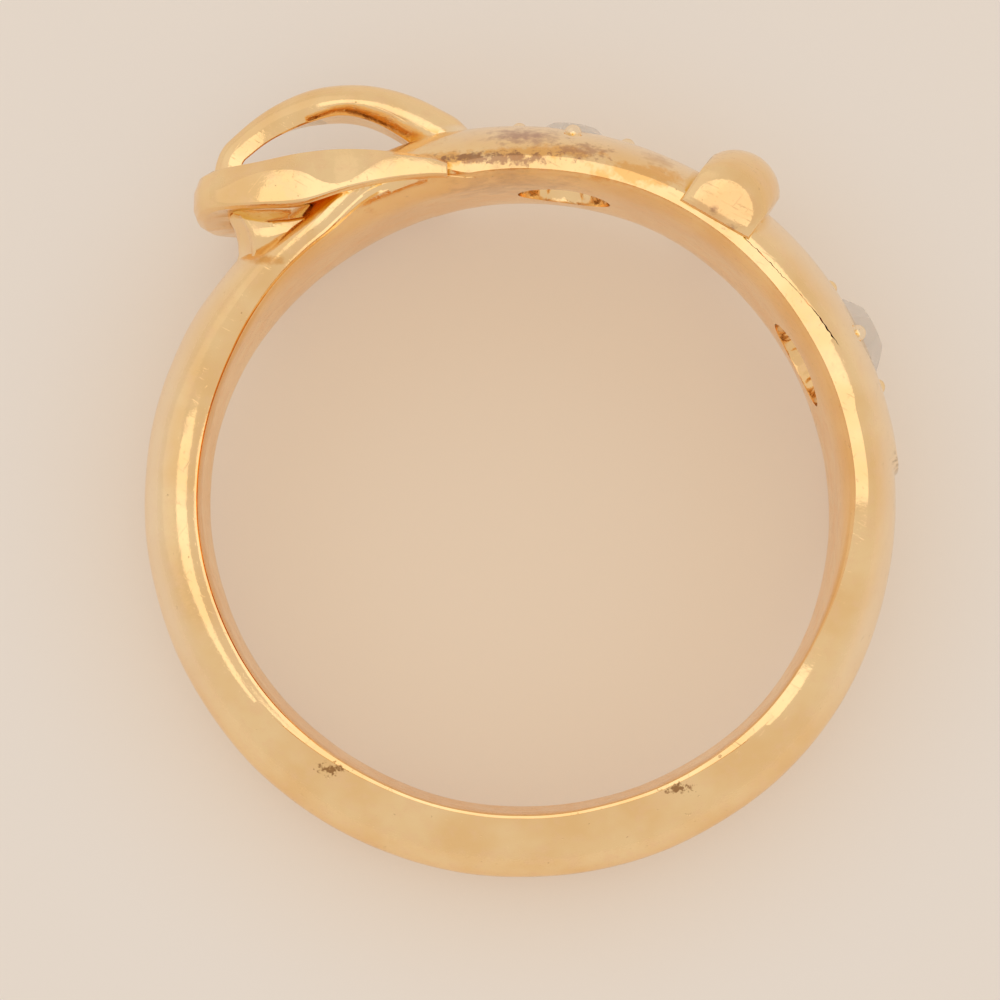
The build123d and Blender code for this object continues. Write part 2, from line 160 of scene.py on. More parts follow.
@dataclass(frozen=True)
class Lay:
    """How the ring lies: turned from its own frame until the finger axis has the record's direction."""

    axis: Vector

    @property
    def turn(self) -> Matrix:
        """The turn from the ring's frame to the row's."""
        return Vector((0, 0, 1)).rotation_difference(self.axis).to_matrix().to_4x4()

    @property
    def to_row(self) -> Matrix:
        """From millimetres in the ring's frame to metres in the row's."""
        return self.turn @ Matrix.Scale(MM, 4)


@dataclass(frozen=True)
class Photograph:
    """Where the camera stood, in the ring's frame."""

    eye: Vector = Vector((0.54, -2.53, 80.0))
    target: Vector = Vector((-0.543, 0.026, 0.0))
    lens: float = 103.68
    sensor: float = 36.0
    nearest: float = 0.002
    farthest: float = 10.0

    def build(self, lay: Lay) -> None:
        """Makes the camera.

        Args:
            lay: how the ring lies
        """
        data = bpy.data.cameras.new("camera")
        data.lens = self.lens
        data.sensor_width = self.sensor
        data.clip_start = self.nearest
        data.clip_end = self.farthest
        camera = bpy.data.objects.new("camera", data)
        bpy.context.scene.collection.objects.link(camera)
        back = (self.eye - self.target).normalized()
        right = Vector((0, 1, 0)).cross(back).normalized()
        up = back.cross(right)
        turn = Matrix((right, up, back)).transposed()
        camera.matrix_world = lay.turn @ (Matrix.Translation(self.eye * MM) @ turn.to_4x4())
        bpy.context.scene.camera = camera


@dataclass(frozen=True)
class Softbox:
    """One large soft lamp, oval, placed by direction from the ring."""

    name: str
    azimuth: float
    elevation: float
    distance: float
    width: float
    height: float
    watts: float
    colour: Triple = (1.0, 1.0, 1.0)

    def build(self) -> None:
        """Makes the lamp, aimed at the ring."""
        data = bpy.data.lights.new(self.name, "AREA")
        data.shape = "ELLIPSE"
        data.size = self.width
        data.size_y = self.height
        data.energy = self.watts
        data.color = self.colour
        lamp = bpy.data.objects.new(self.name, data)
        bpy.context.scene.collection.objects.link(lamp)
        a, e = math.radians(self.azimuth), math.radians(self.elevation)
        way = Vector((math.cos(e) * math.cos(a), math.cos(e) * math.sin(a), math.sin(e)))
        lamp.location = way * self.distance
        lamp.rotation_euler = way.to_track_quat("Z", "Y").to_euler()


@dataclass
class Studio:
    """The plain pale floor and soft light."""

    floor_half: float = 1.5
    floor_colour: Colour = linear(201, 195, 189)
    sky_colour: Colour = (0.95, 0.84, 0.725, 1.0)
    sky_strength: float = 0.80
    floor_glow: float = 0.5
    floor_roughness: float = 0.75
    floor_gloss: float = 0.2
    # Painted warm light from the gold on the floor's colour, which fades between these distances
    painted_bounce_colour: Colour = linear(203, 187, 168)
    painted_bounce_from: float = 0.005115
    painted_bounce_to: float = 0.016275
    boxes: tuple[Softbox, ...] = (
        Softbox("overhead", -90.0, 84.0, 0.34, 0.24, 0.24, 0.064, (1.0, 0.96, 0.83)),
        Softbox("left_window", 150.0, 45.0, 0.55, 0.9, 0.6, 0.10, (1.0, 0.95, 0.86)),
    )

    def build(self, lowest: float) -> None:
        """Makes the floor, the sky and the lamps.

        Args:
            lowest: height of the ring's lowest point
        """
        mesh = bpy.data.meshes.new("floor")
        bm = bmesh.new()
        bmesh.ops.create_grid(bm, x_segments=1, y_segments=1, size=self.floor_half)
        bmesh.ops.translate(bm, verts=bm.verts, vec=(0, 0, lowest))
        bm.to_mesh(mesh)
        bm.free()
        floor = bpy.data.objects.new("floor", mesh)
        bpy.context.scene.collection.objects.link(floor)
        material = bpy.data.materials.new("pale_floor")
        g, shader = shader_nodes(material)
        here = g.add("TexCoord").outputs["Object"]
        flat = g.add("VectorMath", {0: here, 1: (1.0, 1.0, 0.0)}, operation="MULTIPLY").outputs[0]
        away = g.add("VectorMath", {0: flat}, operation="LENGTH").outputs["Value"]
        # Painted warm light from the gold near the ring, in the floor's colour and glow
        glow = g.mix(g.step(away, self.painted_bounce_from, self.painted_bounce_to), self.painted_bounce_colour, self.floor_colour)
        g.tree.links.new(glow, shader.inputs["Base Color"])
        g.tree.links.new(glow, shader.inputs["Emission Color"])
        shader.inputs["Roughness"].default_value = self.floor_roughness
        shader.inputs["Specular IOR Level"].default_value = self.floor_gloss
        shader.inputs["Emission Strength"].default_value = self.floor_glow
        mesh.materials.append(material)
        floor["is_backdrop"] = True
        world = bpy.data.worlds.new("studio")
        world.use_nodes = True
        sky = world.node_tree.nodes["Background"]
        sky.inputs["Color"].default_value = self.sky_colour
        sky.inputs["Strength"].default_value = self.sky_strength
        bpy.context.scene.world = world
        bpy.context.scene.view_settings.view_transform = "Standard"
        for box in self.boxes:
            box.build()
        log.info("studio: floor at %.5f m and %d lamps", lowest, len(self.boxes))


class Carver:
    """Joins and cuts closed meshes, kept in millimetres until they are laid down."""

    @staticmethod
    def piece(name: str, bm: BMesh) -> Piece:
        """An object that holds a mesh, with its faces pointing outwards.

        Args:
            name: what the piece is called
            bm: its mesh, which is freed

        Returns:
            The new object.
        """
        bmesh.ops.recalc_face_normals(bm, faces=bm.faces)
        mesh = bpy.data.meshes.new(name)
        bm.to_mesh(mesh)
        bm.free()
        made = bpy.data.objects.new(name, mesh)
        bpy.context.scene.collection.objects.link(made)
        return made

    @staticmethod
    def apply(target: Piece) -> None:
        """Applies all the modifiers of a piece to its mesh."""
        depsgraph = bpy.context.evaluated_depsgraph_get()
        finished = bpy.data.meshes.new_from_object(target.evaluated_get(depsgraph))
        target.modifiers.clear()
        old = target.data
        target.data = finished
        bpy.data.meshes.remove(old)

    @classmethod
    def combine(cls, target: Piece, others: list[Piece], operation: str) -> None:
        """Adds other pieces to one, or cuts them from it, and deletes them.

        Args:
            target: the piece that stays
            others: the pieces that are used up
            operation: UNION or DIFFERENCE
        """
        for other in others:
            step = target.modifiers.new("join", "BOOLEAN")
            step.operation = operation
            step.solver = "MANIFOLD"
            step.object = other
            cls.apply(target)
            used = other.data
            bpy.data.objects.remove(other)
            bpy.data.meshes.remove(used)


def loop_of(bm: BMesh, points: Iterable[Vector], closed: bool = True) -> list[BEdge]:
    """Edges through points.

    Args:
        bm: the mesh they go into
        points: the corners in order
        closed: whether the last joins the first

    Returns:
        The new edges, in order.
    """
    verts = [bm.verts.new(p) for p in points]
    edges = [bm.edges.new(pair) for pair in zip(verts, verts[1:])]
    if closed:
        edges.append(bm.edges.new((verts[-1], verts[0])))
    return edges


def skin(sections: list[list[Vector]]) -> BMesh:
    """A closed skin through cross-sections with as many corners each.

    Args:
        sections: the corners of each section, in order

    Returns:
        The mesh, closed at both ends.
    """
    bm = bmesh.new()
    loops = [loop_of(bm, section) for section in sections]
    for first, second in zip(loops, loops[1:]):
        bmesh.ops.bridge_loops(bm, edges=first + second)
    for end in (loops[0], loops[-1]):
        bmesh.ops.contextual_create(bm, geom=end)
    return bm


def stations(flat: float, rounding: float, middle: int, end: int) -> list[float]:
    """Places across a piece: even between its rounded ends, and closer over their bends.

    Args:
        flat: half the length between the rounded ends
        rounding: how far the ends are rounded
        middle: number of places between the ends
        end: number over each bend, with the one that it shares with the middle

    Returns:
        The places, from one end to the other.
    """
    ends = [flat + rounding * math.sin(math.pi / 2 * s) for s in np.linspace(0, 1, end)[1:]]
    return [-z for z in reversed(ends)] + list(np.linspace(-flat, flat, middle)) + ends


def crown_ends(bm: BMesh, height: float) -> None:
    """Fans a skin's two flat ends from their middles, which are raised like worn metal.

    Args:
        bm: the mesh, whose ends are its only faces with more than four corners
        height: how far the middles rise
    """
    bmesh.ops.poke(bm, faces=[face for face in bm.faces if len(face.verts) > 4], offset=height)


def round_edges(bm: BMesh, width: float, segments: int, sharper_than: float) -> None:
    """Rounds the edges that turn by more than an angle.

    Args:
        bm: the mesh
        width: how far the rounding reaches from an edge
        segments: faces across it
        sharper_than: the angle, in degrees
    """
    bmesh.ops.recalc_face_normals(bm, faces=bm.faces)
    limit = math.radians(sharper_than)
    sharp = [e for e in bm.edges if e.is_manifold and e.calc_face_angle(0.0) > limit]
    bmesh.ops.bevel(
        bm, geom=sharp, offset=width, offset_type="OFFSET", segments=segments, profile=0.5,
        affect="EDGES", clamp_overlap=True, material=-1,
    )


@dataclass
class Belt:
    """The belt: a domed band, worn at its neck, with the strap end laid over it."""

    bore: float = 8.66
    land: float = 3.0
    flare: float = 0.22
    flare_end: float = 1.03
    # Extra wear of the near wall under the rail: its depth, then start and run of its rise and fall, by angle
    under_rail: float = 0.36
    under_rail_rise: Pair = (-37.0, 13.0)
    under_rail_fall: Pair = (-15.0, 7.0)
    rim_open: float = 0.03
    rim_reach: float = 0.42
    width: float = 6.3
    shank_width: float = 3.2
    neck_side_limit: float = -82.0
    tip_taper: Pair = (85.0, 41.0)
    fullness: float = 2.2
    # Depth of the flat sides and fullness of the dome's shoulders, by angle
    edge_places: Row = (-180, -150, -130, -110, -60, -40, -27, -21, -14, -8, -2, 35, 70, 110, 130, 150, 180)
    edge_values: Row = (
        0.07, 0.10, 0.25, 0.45, 0.48, 0.42, 0.40, 0.16, 0.14, 0.37, 0.38, 0.38, 0.36, 0.32, 0.22, 0.10, 0.07
    )
    swell_values: Row = (
        1.1, 1.2, 1.5, 1.9, 1.9, 1.45, 1.3, 1.25, 1.25, 1.25, 1.25, 1.25, 1.5, 1.7, 1.5, 1.2, 1.1
    )
    # How far a side falls back from its widest place, by distance from the finger hole
    rim_places: Row = (0.0, 0.025, 0.09, 0.12, 0.21, 0.30, 0.36, 0.44)
    rim_values: Row = (0.106, 0.098, 0.092, 0.078, 0.045, 0.014, 0.003, 0.0)
    # Sides at least this deep have the whole rim; the head and the right keep little of it
    full_edge: float = 0.38
    crisp_rise: Pair = (-20.0, 14.0)
    crisp_fall: Pair = (125.0, 20.0)
    crisp_share: float = 0.8
    thickness: float = 1.7
    strap_rise: float = 0.13
    strap_start: float = 35.2
    tip_angle: float = 86.8
    tip_length: float = 2.8
    tip_width: float = 1.04
    step_width: float = 0.16
    # The seam: where it ends, its width and depth, its start before the strap, its height over the hole
    seam_end: float = 67.5
    seam_gap: float = 0.04
    seam_depth: float = 0.09
    seam_lead: float = 1.0
    seam_lift: float = 0.54
    seam_steps: int = 120
    # How the seam climbs past an angle, sways in grains and sizes, and runs out before and after angles
    seam_climb: Pair = (50.0, 0.018)
    seam_sways: tuple[Pair, Pair] = ((2.6, 0.03), (9.0, 0.028))
    seam_ripple: Pair = (6.0, 0.03)
    seam_before: Triple = (56.0, 5.0, 0.055)
    seam_after: Triple = (62.0, 4.0, 0.05)
    steps: int = 840
    # The template's radius, then its corners: across the wall, out along the side, and over the dome
    template_radius: float = 10.0
    wall_places: Row = (0.3, 0.5, 0.66, 0.74, 0.80, 0.85, 0.89, 0.92, 0.95, 0.975)
    side_places: Row = (0.06, 0.2, 0.26, 0.36, 0.48, 0.62, 0.74, 0.86, 1.0)
    side_reach: float = 0.9
    dome_points: int = 27
    dome_end: float = 0.975
    # Shares of the template's thickness that end the wall and start the dome, and of its half width at rims
    wall_share: float = 0.01
    dome_share: float = 0.95
    rim_from: float = 0.96
    # More steps go round the head than the back: template angles, and where they go
    template_angles: Row = (-180, -125, 125, 180)
    spread_angles: Row = (-180, -80, 105, 180)
    # Radius of the crest, and how far the finger hole is worn oval, by angle
    crest_places: Row = (-180, -110, -82, -62, -50, -40, -27, 35, 86, 100, 109, 124, 149, 169, 180)
    crest_values: Row = (
        10.41, 10.41, 10.41, 10.375, 10.26, 10.30, 10.36, 10.36, 10.36, 10.38, 10.44, 10.51, 10.48, 10.43,
        10.41,
    )
    oval_places: Row = (-180, -140, -128, -110, -90, -60, -39, 0, 28, 60, 85, 112, 130, 150, 165, 180)
    oval_values: Row = (
        -0.09, -0.05, 0.02, 0.06, 0.10, 0.03, -0.10, -0.11, -0.02, -0.02, 0.06, 0.20, 0.18, 0.04, -0.05,
        -0.09,
    )
    # Share of the full width at the neck, by angle
    neck_places: Row = (-82, -80.9, -68.8, -57.8, -47.9, -38, -28.1, -27)
    neck_values: Row = (0, 0, 0.18, 0.54, 0.84, 0.98, 1, 1)

    def half_width(self, angle: np.ndarray) -> np.ndarray:
        """Half the belt's width at angles in degrees."""
        neck = soft_table(angle, self.neck_places, self.neck_values)
        tip = 1 - ramp(angle, *self.tip_taper)
        share = np.where(angle < 0, np.where(angle < self.neck_side_limit, 0.0, neck), tip)
        return (self.shank_width + (self.width - self.shank_width) * share) / 2

    def wall(self, angle: np.ndarray, across: np.ndarray) -> np.ndarray:
        """Radius of the finger hole at angles and distances from mid width, but for its worn rims."""
        run = (self.width - self.land) / 2
        share = np.clip((np.abs(across) - self.land / 2) / run, 0, self.flare_end)
        rise, fall = ramp(angle, *self.under_rail_rise), ramp(angle, *self.under_rail_fall)
        worn = self.under_rail * rise * (1 - fall) * (across > 0)
        open_by = self.flare * share**2 + worn * share**3
        return self.bore + open_by + soft_table(angle, self.oval_places, self.oval_values)

    def inner(self, angle: np.ndarray, across: np.ndarray) -> np.ndarray:
        """Radius of the finger hole at angles and distances from mid width."""
        left = self.half_width(angle) - np.abs(across)
        return self.wall(angle, across) + self.rim_open * np.maximum(0, 1 - left / self.rim_reach) ** 2

    def rim_share(self, angle: np.ndarray, edge: np.ndarray) -> np.ndarray:
        """Share of the worn rim at angles with sides of some depth."""
        crisp = ramp(angle, *self.crisp_rise) * (1 - ramp(angle, *self.crisp_fall))
        return np.minimum(1, edge / self.full_edge) * (1 - self.crisp_share * crisp)

    def strap(self, angle: np.ndarray, across: np.ndarray) -> np.ndarray:
        """Share of the strap's thickness that lies over the belt at a place."""
        crest = self.bore + self.thickness + self.strap_rise
        tip_centre = self.tip_angle - math.degrees(math.asin(self.tip_length / crest))
        along = np.radians(np.maximum(0, angle - tip_centre)) * crest
        reach = np.hypot(along / self.tip_length, across / (self.width / 2 * self.tip_width))
        inside = (1 - reach) * self.tip_length
        before = np.where(angle < tip_centre, self.step_width, inside)
        share = smooth_step(before / self.step_width)
        return np.where(angle > self.strap_start, share, 0.0)

    def outer(self, angle: np.ndarray, across: np.ndarray, half: np.ndarray) -> np.ndarray:
        """Radius of the belt's outer face at angles and distances from mid width."""
        crest = soft_table(angle, self.crest_places, self.crest_values)
        low = self.inner(angle, half) + soft_table(angle, self.edge_places, self.edge_values)
        swell = soft_table(angle, self.edge_places, self.swell_values)
        inward = np.maximum(0, 1 - (np.abs(across) / half) ** self.fullness)
        dome = low + (crest - low) * inward ** (1 / swell)
        return dome + self.strap_rise * self.strap(angle, across)

    def template(self, bm: BMesh) -> list[BEdge]:
        """The section before it is shaped: 1 thick, from the finger hole outwards, and Z from -1 to 1."""
        near = self.template_radius
        wall = [-z for z in reversed(self.wall_places)] + list(self.wall_places)
        side = [near + share * self.side_reach for share in self.side_places]
        over = np.linspace(self.dome_end, -self.dome_end, self.dome_points)
        points = [Vector((near, 0, z)) for z in wall]
        points += [Vector((x, 0, 1)) for x in side]
        points += [Vector((near + 1, 0, math.sin(math.pi / 2 * share))) for share in over]
        points += [Vector((x, 0, -1)) for x in reversed(side)]
        return loop_of(bm, points)

    def spread(self, turn: np.ndarray) -> np.ndarray:
        """Where angles of the template go."""
        return np.interp(turn, self.template_angles, self.spread_angles)

    def build(self) -> Piece:
        """Spins the section, shapes it and cuts its seams.

        Returns:
            The belt, without its settings.
        """
        bm = bmesh.new()
        geometry = self.template(bm) + list(bm.verts)
        bmesh.ops.spin(
            bm, geom=geometry, cent=(0, 0, 0), axis=(0, 0, 1), angle=TAU, steps=self.steps,
            use_merge=True, use_duplicate=False,
        )
        points = np.array([v.co for v in bm.verts])
        angle = self.spread(np.degrees(np.arctan2(points[:, 0], points[:, 1])))
        share = np.hypot(points[:, 0], points[:, 1]) - self.template_radius
        half = self.half_width(angle)
        across = half * points[:, 2]
        inner = self.inner(angle, across)
        outer = self.outer(angle, across, half)
        edge = soft_table(angle, self.edge_places, self.edge_values)
        on_side = (share > self.wall_share) & (share < self.dome_share)
        out_by = edge * np.clip(share / self.side_reach, 0, 1)
        radius = np.where(share > self.dome_share, outer, inner + np.where(on_side, out_by, 0.0))
        worn = self.rim_share(angle, edge)
        fall_back = soft_table(out_by, self.rim_places, self.rim_values) * worn
        at_rim = worn * self.rim_values[0] * (np.abs(points[:, 2]) > self.rim_from)
        inset = np.where(on_side, fall_back, np.where(share < self.wall_share, at_rim, 0.0))
        across = across - np.sign(across) * inset
        a = np.radians(angle)
        for vert, x, y, z in zip(bm.verts, radius * np.sin(a), radius * np.cos(a), across):
            vert.co = (x, y, z)
        belt = Carver.piece("belt", bm)
        Carver.combine(belt, self.seams(), "DIFFERENCE")
        return belt

    def seams(self) -> list[Piece]:
        """What cuts the fine grooves in both sides, between the belt and the strap end."""
        made = []
        radius = self.bore + self.seam_lift
        start = self.strap_start - self.seam_lead
        out = around(start, 1.0)
        climb_from, climb = self.seam_climb
        (first, run, before), (last, fall, after) = self.seam_before, self.seam_after
        grain, ripple = self.seam_ripple
        for side in (1, -1):
            bm = bmesh.new()
            middle = around(start, radius, side * self.width / 2)
            depth = Vector((0, 0, -side * self.seam_depth))
            gap = out * (self.seam_gap / 2)
            edges = loop_of(bm, [middle - gap, middle + depth, middle + gap, middle - depth])
            face = bmesh.ops.contextual_create(bm, geom=edges)["faces"]
            turn = math.radians(self.seam_end - self.strap_start)
            bmesh.ops.spin(
                bm, geom=face + edges + list(bm.verts), cent=(0, 0, 0), axis=(0, 0, -1), angle=turn,
                steps=self.seam_steps,
            )
            for vert in bm.verts:
                flat = Vector((vert.co.x, vert.co.y, 0))
                angle = math.degrees(math.atan2(flat.x, flat.y))
                sway = sum(noise.noise(flat * grains) * size for grains, size in self.seam_sways)
                vert.co += flat.normalized() * (climb * max(0.0, angle - climb_from) + sway)
                shallow = before * (1 - ramp(angle, first, run)) + after * ramp(angle, last, fall)
                vert.co.z += side * (shallow + noise.noise(flat * grain) * ripple)
            made.append(Carver.piece("seam", bm))
        return made


@dataclass
class Saddle:
    """A rounded bar bent over the belt, with flat ends that have worn edges."""

    name: str
    angle: float
    length: float
    width: float
    crest: float
    end_drop: float
    shoulder_drop: float
    rounding: float = 0.12
    bulge: float = 0.0
    belly: Pair = (0.1, 1.5)
    depth: float = 1.9
    slant: float = 0.0
    middle_stations: int = 36
    end_stations: int = 7
    arc_points: int = 15

    def section(self, across: float) -> list[Vector]:
        """The bar's cross-section at a distance from mid width.

        Args:
            across: the distance, along the finger axis

        Returns:
            Its corners, with x along the belt, y down the finger and z outwards.
        """
        bend = ((self.width / 2) ** 2 + self.end_drop**2) / (2 * self.end_drop)
        short = max(0.0, self.rounding - (self.width / 2 - abs(across)))
        inset = self.rounding - math.sqrt(max(0.0, self.rounding**2 - short**2))
        top = self.crest - bend + math.sqrt(bend**2 - across**2) - inset
        half = self.length / 2 - inset
        arc = (half**2 + self.shoulder_drop**2) / (2 * self.shoulder_drop)
        half_turn = math.asin(half / arc)
        low = self.crest - self.shoulder_drop - self.depth - self.end_drop + inset
        middle = (low + top - self.shoulder_drop) / 2
        corners = [Vector((-half, -across, low - self.slant)), Vector((-half, -across, middle))]
        corners += [
            Vector((arc * math.sin(t), -across, top - arc + arc * math.cos(t)))
            for t in np.linspace(-half_turn, half_turn, self.arc_points)
        ]
        corners += [Vector((half, -across, middle)), Vector((half, -across, low + self.slant))]
        share = min(1.0, short / self.rounding)
        across_belly, under_crest = self.belly
        for corner in corners:
            away = ((corner.x - across_belly) ** 2 + (corner.z - self.crest + under_crest) ** 2) * share
            corner.y += math.copysign(self.bulge * away, across)
        return corners

    def build(self) -> Piece:
        """Skins the bar's sections across the belt.

        Returns:
            The bar.
        """
        flat = self.width / 2 - self.rounding
        places = stations(flat, self.rounding, self.middle_stations, self.end_stations)
        bm = skin([self.section(z) for z in places])
        crown_ends(bm, self.bulge)
        bmesh.ops.transform(bm, verts=bm.verts, matrix=outward_matrix(self.angle, 0))
        return Carver.piece(self.name, bm)


@dataclass
class Frame:
    """The buckle's frame: two hand-filed rails and the outer end bar."""

    start: float = 1.9
    length: float = 7.02
    width: float = 7.24
    top: float = 9.28
    thickness: float = 1.0
    height: float = 1.45
    rounding: float = 0.12
    rounding_segments: int = 3
    rounded_from: float = 16.0
    # Sections from the strap end to the outer end: place, reach out, turn, underside and top, as in the part
    along: Row = (0.00, 0.20, 0.38, 0.56, 0.74, 0.88, 0.93, 0.94)
    out: Row = (1.00, 1.00, 1.00, 1.00, 0.98, 0.79, 0.42, 0.00)
    turn: Row = (0, 0, 0, 0, 12, 48, 80, 90)
    near_out: Row = (1.00, 1.00, 1.00, 1.00, 0.995, 0.86, 0.45, 0.00)
    near_turn: Row = (0, 0, 0, 0, 4, 42, 78, 90)
    low: Row = (0.45, 0.56, 0.75, 1.02, 1.07, 1.10, 1.16, 1.20)
    high: Row = (0.12, 0.00, -0.05, 0.02, 0.20, 0.29, 0.26, 0.22)
    # How far up the side the filed flats reach, by the row of the table above
    flat_places: Row = (0.0, 0.5, 1.0, 1.3, 1.7, 2.1, 2.5, 2.9, 3.4, 3.9, 4.4, 4.8, 7.0)
    flat_values: Row = (0.80, 0.90, 0.95, 0.72, 0.32, 0.14, 0.30, 0.66, 0.84, 0.84, 0.62, 0.2, 0.1)
    stations_between: int = 6
    # The section near the outer end, and the row and run over which it takes over from the filed one
    worn: tuple[Pair, ...] = (
        (-0.5, 0.05), (0.20, 0.0), (0.40, 0.08), (0.49, 0.26), (0.49, 0.60), (0.37, 0.86), (0.08, 1.0),
        (-0.5, 0.88),
    )
    worn_rise: Pair = (4.3, 0.9)
    # The strap end's own slight rounding: how much, and over how many rows
    end_shrink: float = 0.1
    end_run: float = 0.3
    end_rows: Row = (0.03, 0.07, 0.12, 0.2)

    def section(self, row: float, side: int) -> list[Vector]:
        """The corners of one cross-section.

        Args:
            row: place in the table, as a fraction of its rows
            side: 1 for the near rail and -1 for the far one

        Returns:
            Its corners.
        """
        rows = range(len(self.along))
        along, out, turn, low, high = (
            soft_table(row, rows, column) for column in (self.along, self.out, self.turn, self.low, self.high)
        )
        if side > 0:
            out, turn = soft_table(row, rows, self.near_out), soft_table(row, rows, self.near_turn)
        flat = soft_table(row, self.flat_places, self.flat_values)
        a = math.radians(turn)
        outward = Vector((-math.sin(a), 0, side * math.cos(a)))
        across = side * out * (self.width - self.thickness) / 2
        middle = Vector((-self.start - along * self.length, 0, across))
        foot, head = self.top - low * self.height, self.top - high * self.height
        tall = head - foot
        filed = (
            (-0.5, 0.05), (0.36, 0.0), (0.48, 0.06), (0.5, 0.1), (0.497, 0.1 + 0.72 * flat),
            (0.34 - 0.14 * (1 - flat), 0.55 + 0.32 * flat), (0.05, 1.0), (-0.5, 0.88),
        )
        share = float(ramp(row, *self.worn_rise))
        ends = self.end_shrink * max(0.0, 1 - row / self.end_run)
        corners = []
        for (x_filed, y_filed), (x_worn, y_worn) in zip(filed, self.worn):
            x = (x_filed + (x_worn - x_filed) * share) * (1 - ends)
            y = foot + tall * (y_filed + (y_worn - y_filed) * share)
            rise = Vector((0, y + (self.top - 1 - y) * ends, 0))
            corners.append(middle + outward * (x * self.thickness) + rise)
        return corners

    def build(self) -> Piece:
        """Skins the sections and rounds their edges.

        Returns:
            The frame, without its front bar.
        """
        last = len(self.along) - 1
        even = np.linspace(0, last, last * self.stations_between + 1)[2:]
        rows = np.concatenate([(0.0,) + self.end_rows, even])
        sections = [self.section(row, 1) for row in rows]
        sections += [self.section(row, -1) for row in rows[-2::-1]]
        bm = skin(sections)
        round_edges(bm, self.rounding, self.rounding_segments, self.rounded_from)
        return Carver.piece("buckle_frame", bm)


@dataclass
class Neck:
    """What joins the belt to the frame's outer end: it drops away from the rails towards its sides."""

    width: float = 5.74
    rounding: float = 0.13
    crown: float = 0.03
    middle_stations: int = 33
    end_stations: int = 6
    drop: float = 0.45
    drop_across: Pair = (1.7, 0.85)
    # How far below the top's two ends the outer and the inner side stay, and how the outer one slopes
    outer_clear: float = 0.12
    inner_clear: float = 0.05
    outer_from: float = -7.1
    outer_slope: Pair = (0.1, 7.94)
    # Towards its sides the outer part leans in
    lean: Pair = (0.5, -0.12)
    lean_across: Pair = (1.5, 1.3)
    lean_along: Pair = (-6.6, -1.2)
    # It widens towards the belt and narrows at its low outer corner
    toe_spread: float = 0.05
    toe_along: Pair = (-6.6, 1.6)
    foot_narrowing: float = 0.24
    foot_height: Pair = (6.9, -0.7)
    foot_along: Pair = (-6.3, -0.8)
    middle: Pair = (-6.2, 7.1)
    # Corners along the top, with how much of the drop they take, then the inner and the outer side
    top: tuple[Triple, ...] = (
        (-8.02, 7.90, 0.4), (-7.4, 7.95, 1.25), (-6.8, 7.95, 1.05), (-6.2, 7.95, 0.95), (-5.6, 7.98, 0.88),
        (-5.0, 8.12, 1.1), (-4.4, 8.32, 1.0), (-4.0, 8.40, 0.5),
    )
    rest: tuple[Pair, ...] = (
        (-4.3, 8.05), (-4.75, 7.72), (-5.6, 7.08), (-6.4, 6.42), (-7.0, 6.1), (-7.79, 6.42), (-7.67, 6.7),
        (-7.68, 7.0), (-7.78, 7.35), (-7.94, 7.62),
    )
    blobs: tuple[Row, ...] = ((-6.60, 7.34, 2.74, 0.15), (-7.05, 7.3, 2.68, 0.08))

    def section(self, across: float) -> list[Vector]:
        """The neck's outline at a distance from mid width."""
        fall = self.drop * float(ramp(abs(across), *self.drop_across))
        corners = [Vector((x, y - fall * share, across)) for x, y, share in self.top]
        outer, inner = corners[0].y - self.outer_clear, corners[-1].y - self.inner_clear
        slope, outermost = self.outer_slope
        for x, y in self.rest:
            limit = outer - slope * (outermost + x) if x < self.outer_from else inner
            corners.append(Vector((x, min(y, limit), across)))
        short = max(0.0, abs(across) - self.width / 2 + self.rounding)
        inset = self.rounding - math.sqrt(max(0.0, self.rounding**2 - short**2))
        centre = Vector((*self.middle, across))
        lean = Vector((*self.lean, 0))
        at_side = float(ramp(abs(across), *self.lean_across))
        for corner in corners:
            corner += lean * (float(ramp(corner.x, *self.lean_along)) * at_side)
            corner += (centre - corner).normalized() * inset
            corner.z *= 1 + self.toe_spread * float(ramp(corner.x, *self.toe_along))
            low, left = float(ramp(corner.y, *self.foot_height)), float(ramp(corner.x, *self.foot_along))
            corner.z *= 1 - self.foot_narrowing * low * left
        return corners

    def build(self) -> list[Piece]:
        """Makes the neck and two small lumps of solder.

        Returns:
            The pieces.
        """
        flat = self.width / 2 - self.rounding
        places = stations(flat, self.rounding, self.middle_stations, self.end_stations)
        bm = skin([self.section(z) for z in places])
        crown_ends(bm, self.crown)
        made = [Carver.piece("neck", bm)]
        for x, y, z, radius in self.blobs:
            bm = bmesh.new()
            bmesh.ops.create_uvsphere(bm, u_segments=14, v_segments=10, radius=radius)
            bmesh.ops.translate(bm, verts=bm.verts, vec=(x, y, z))
            made.append(Carver.piece("solder", bm))
        return made


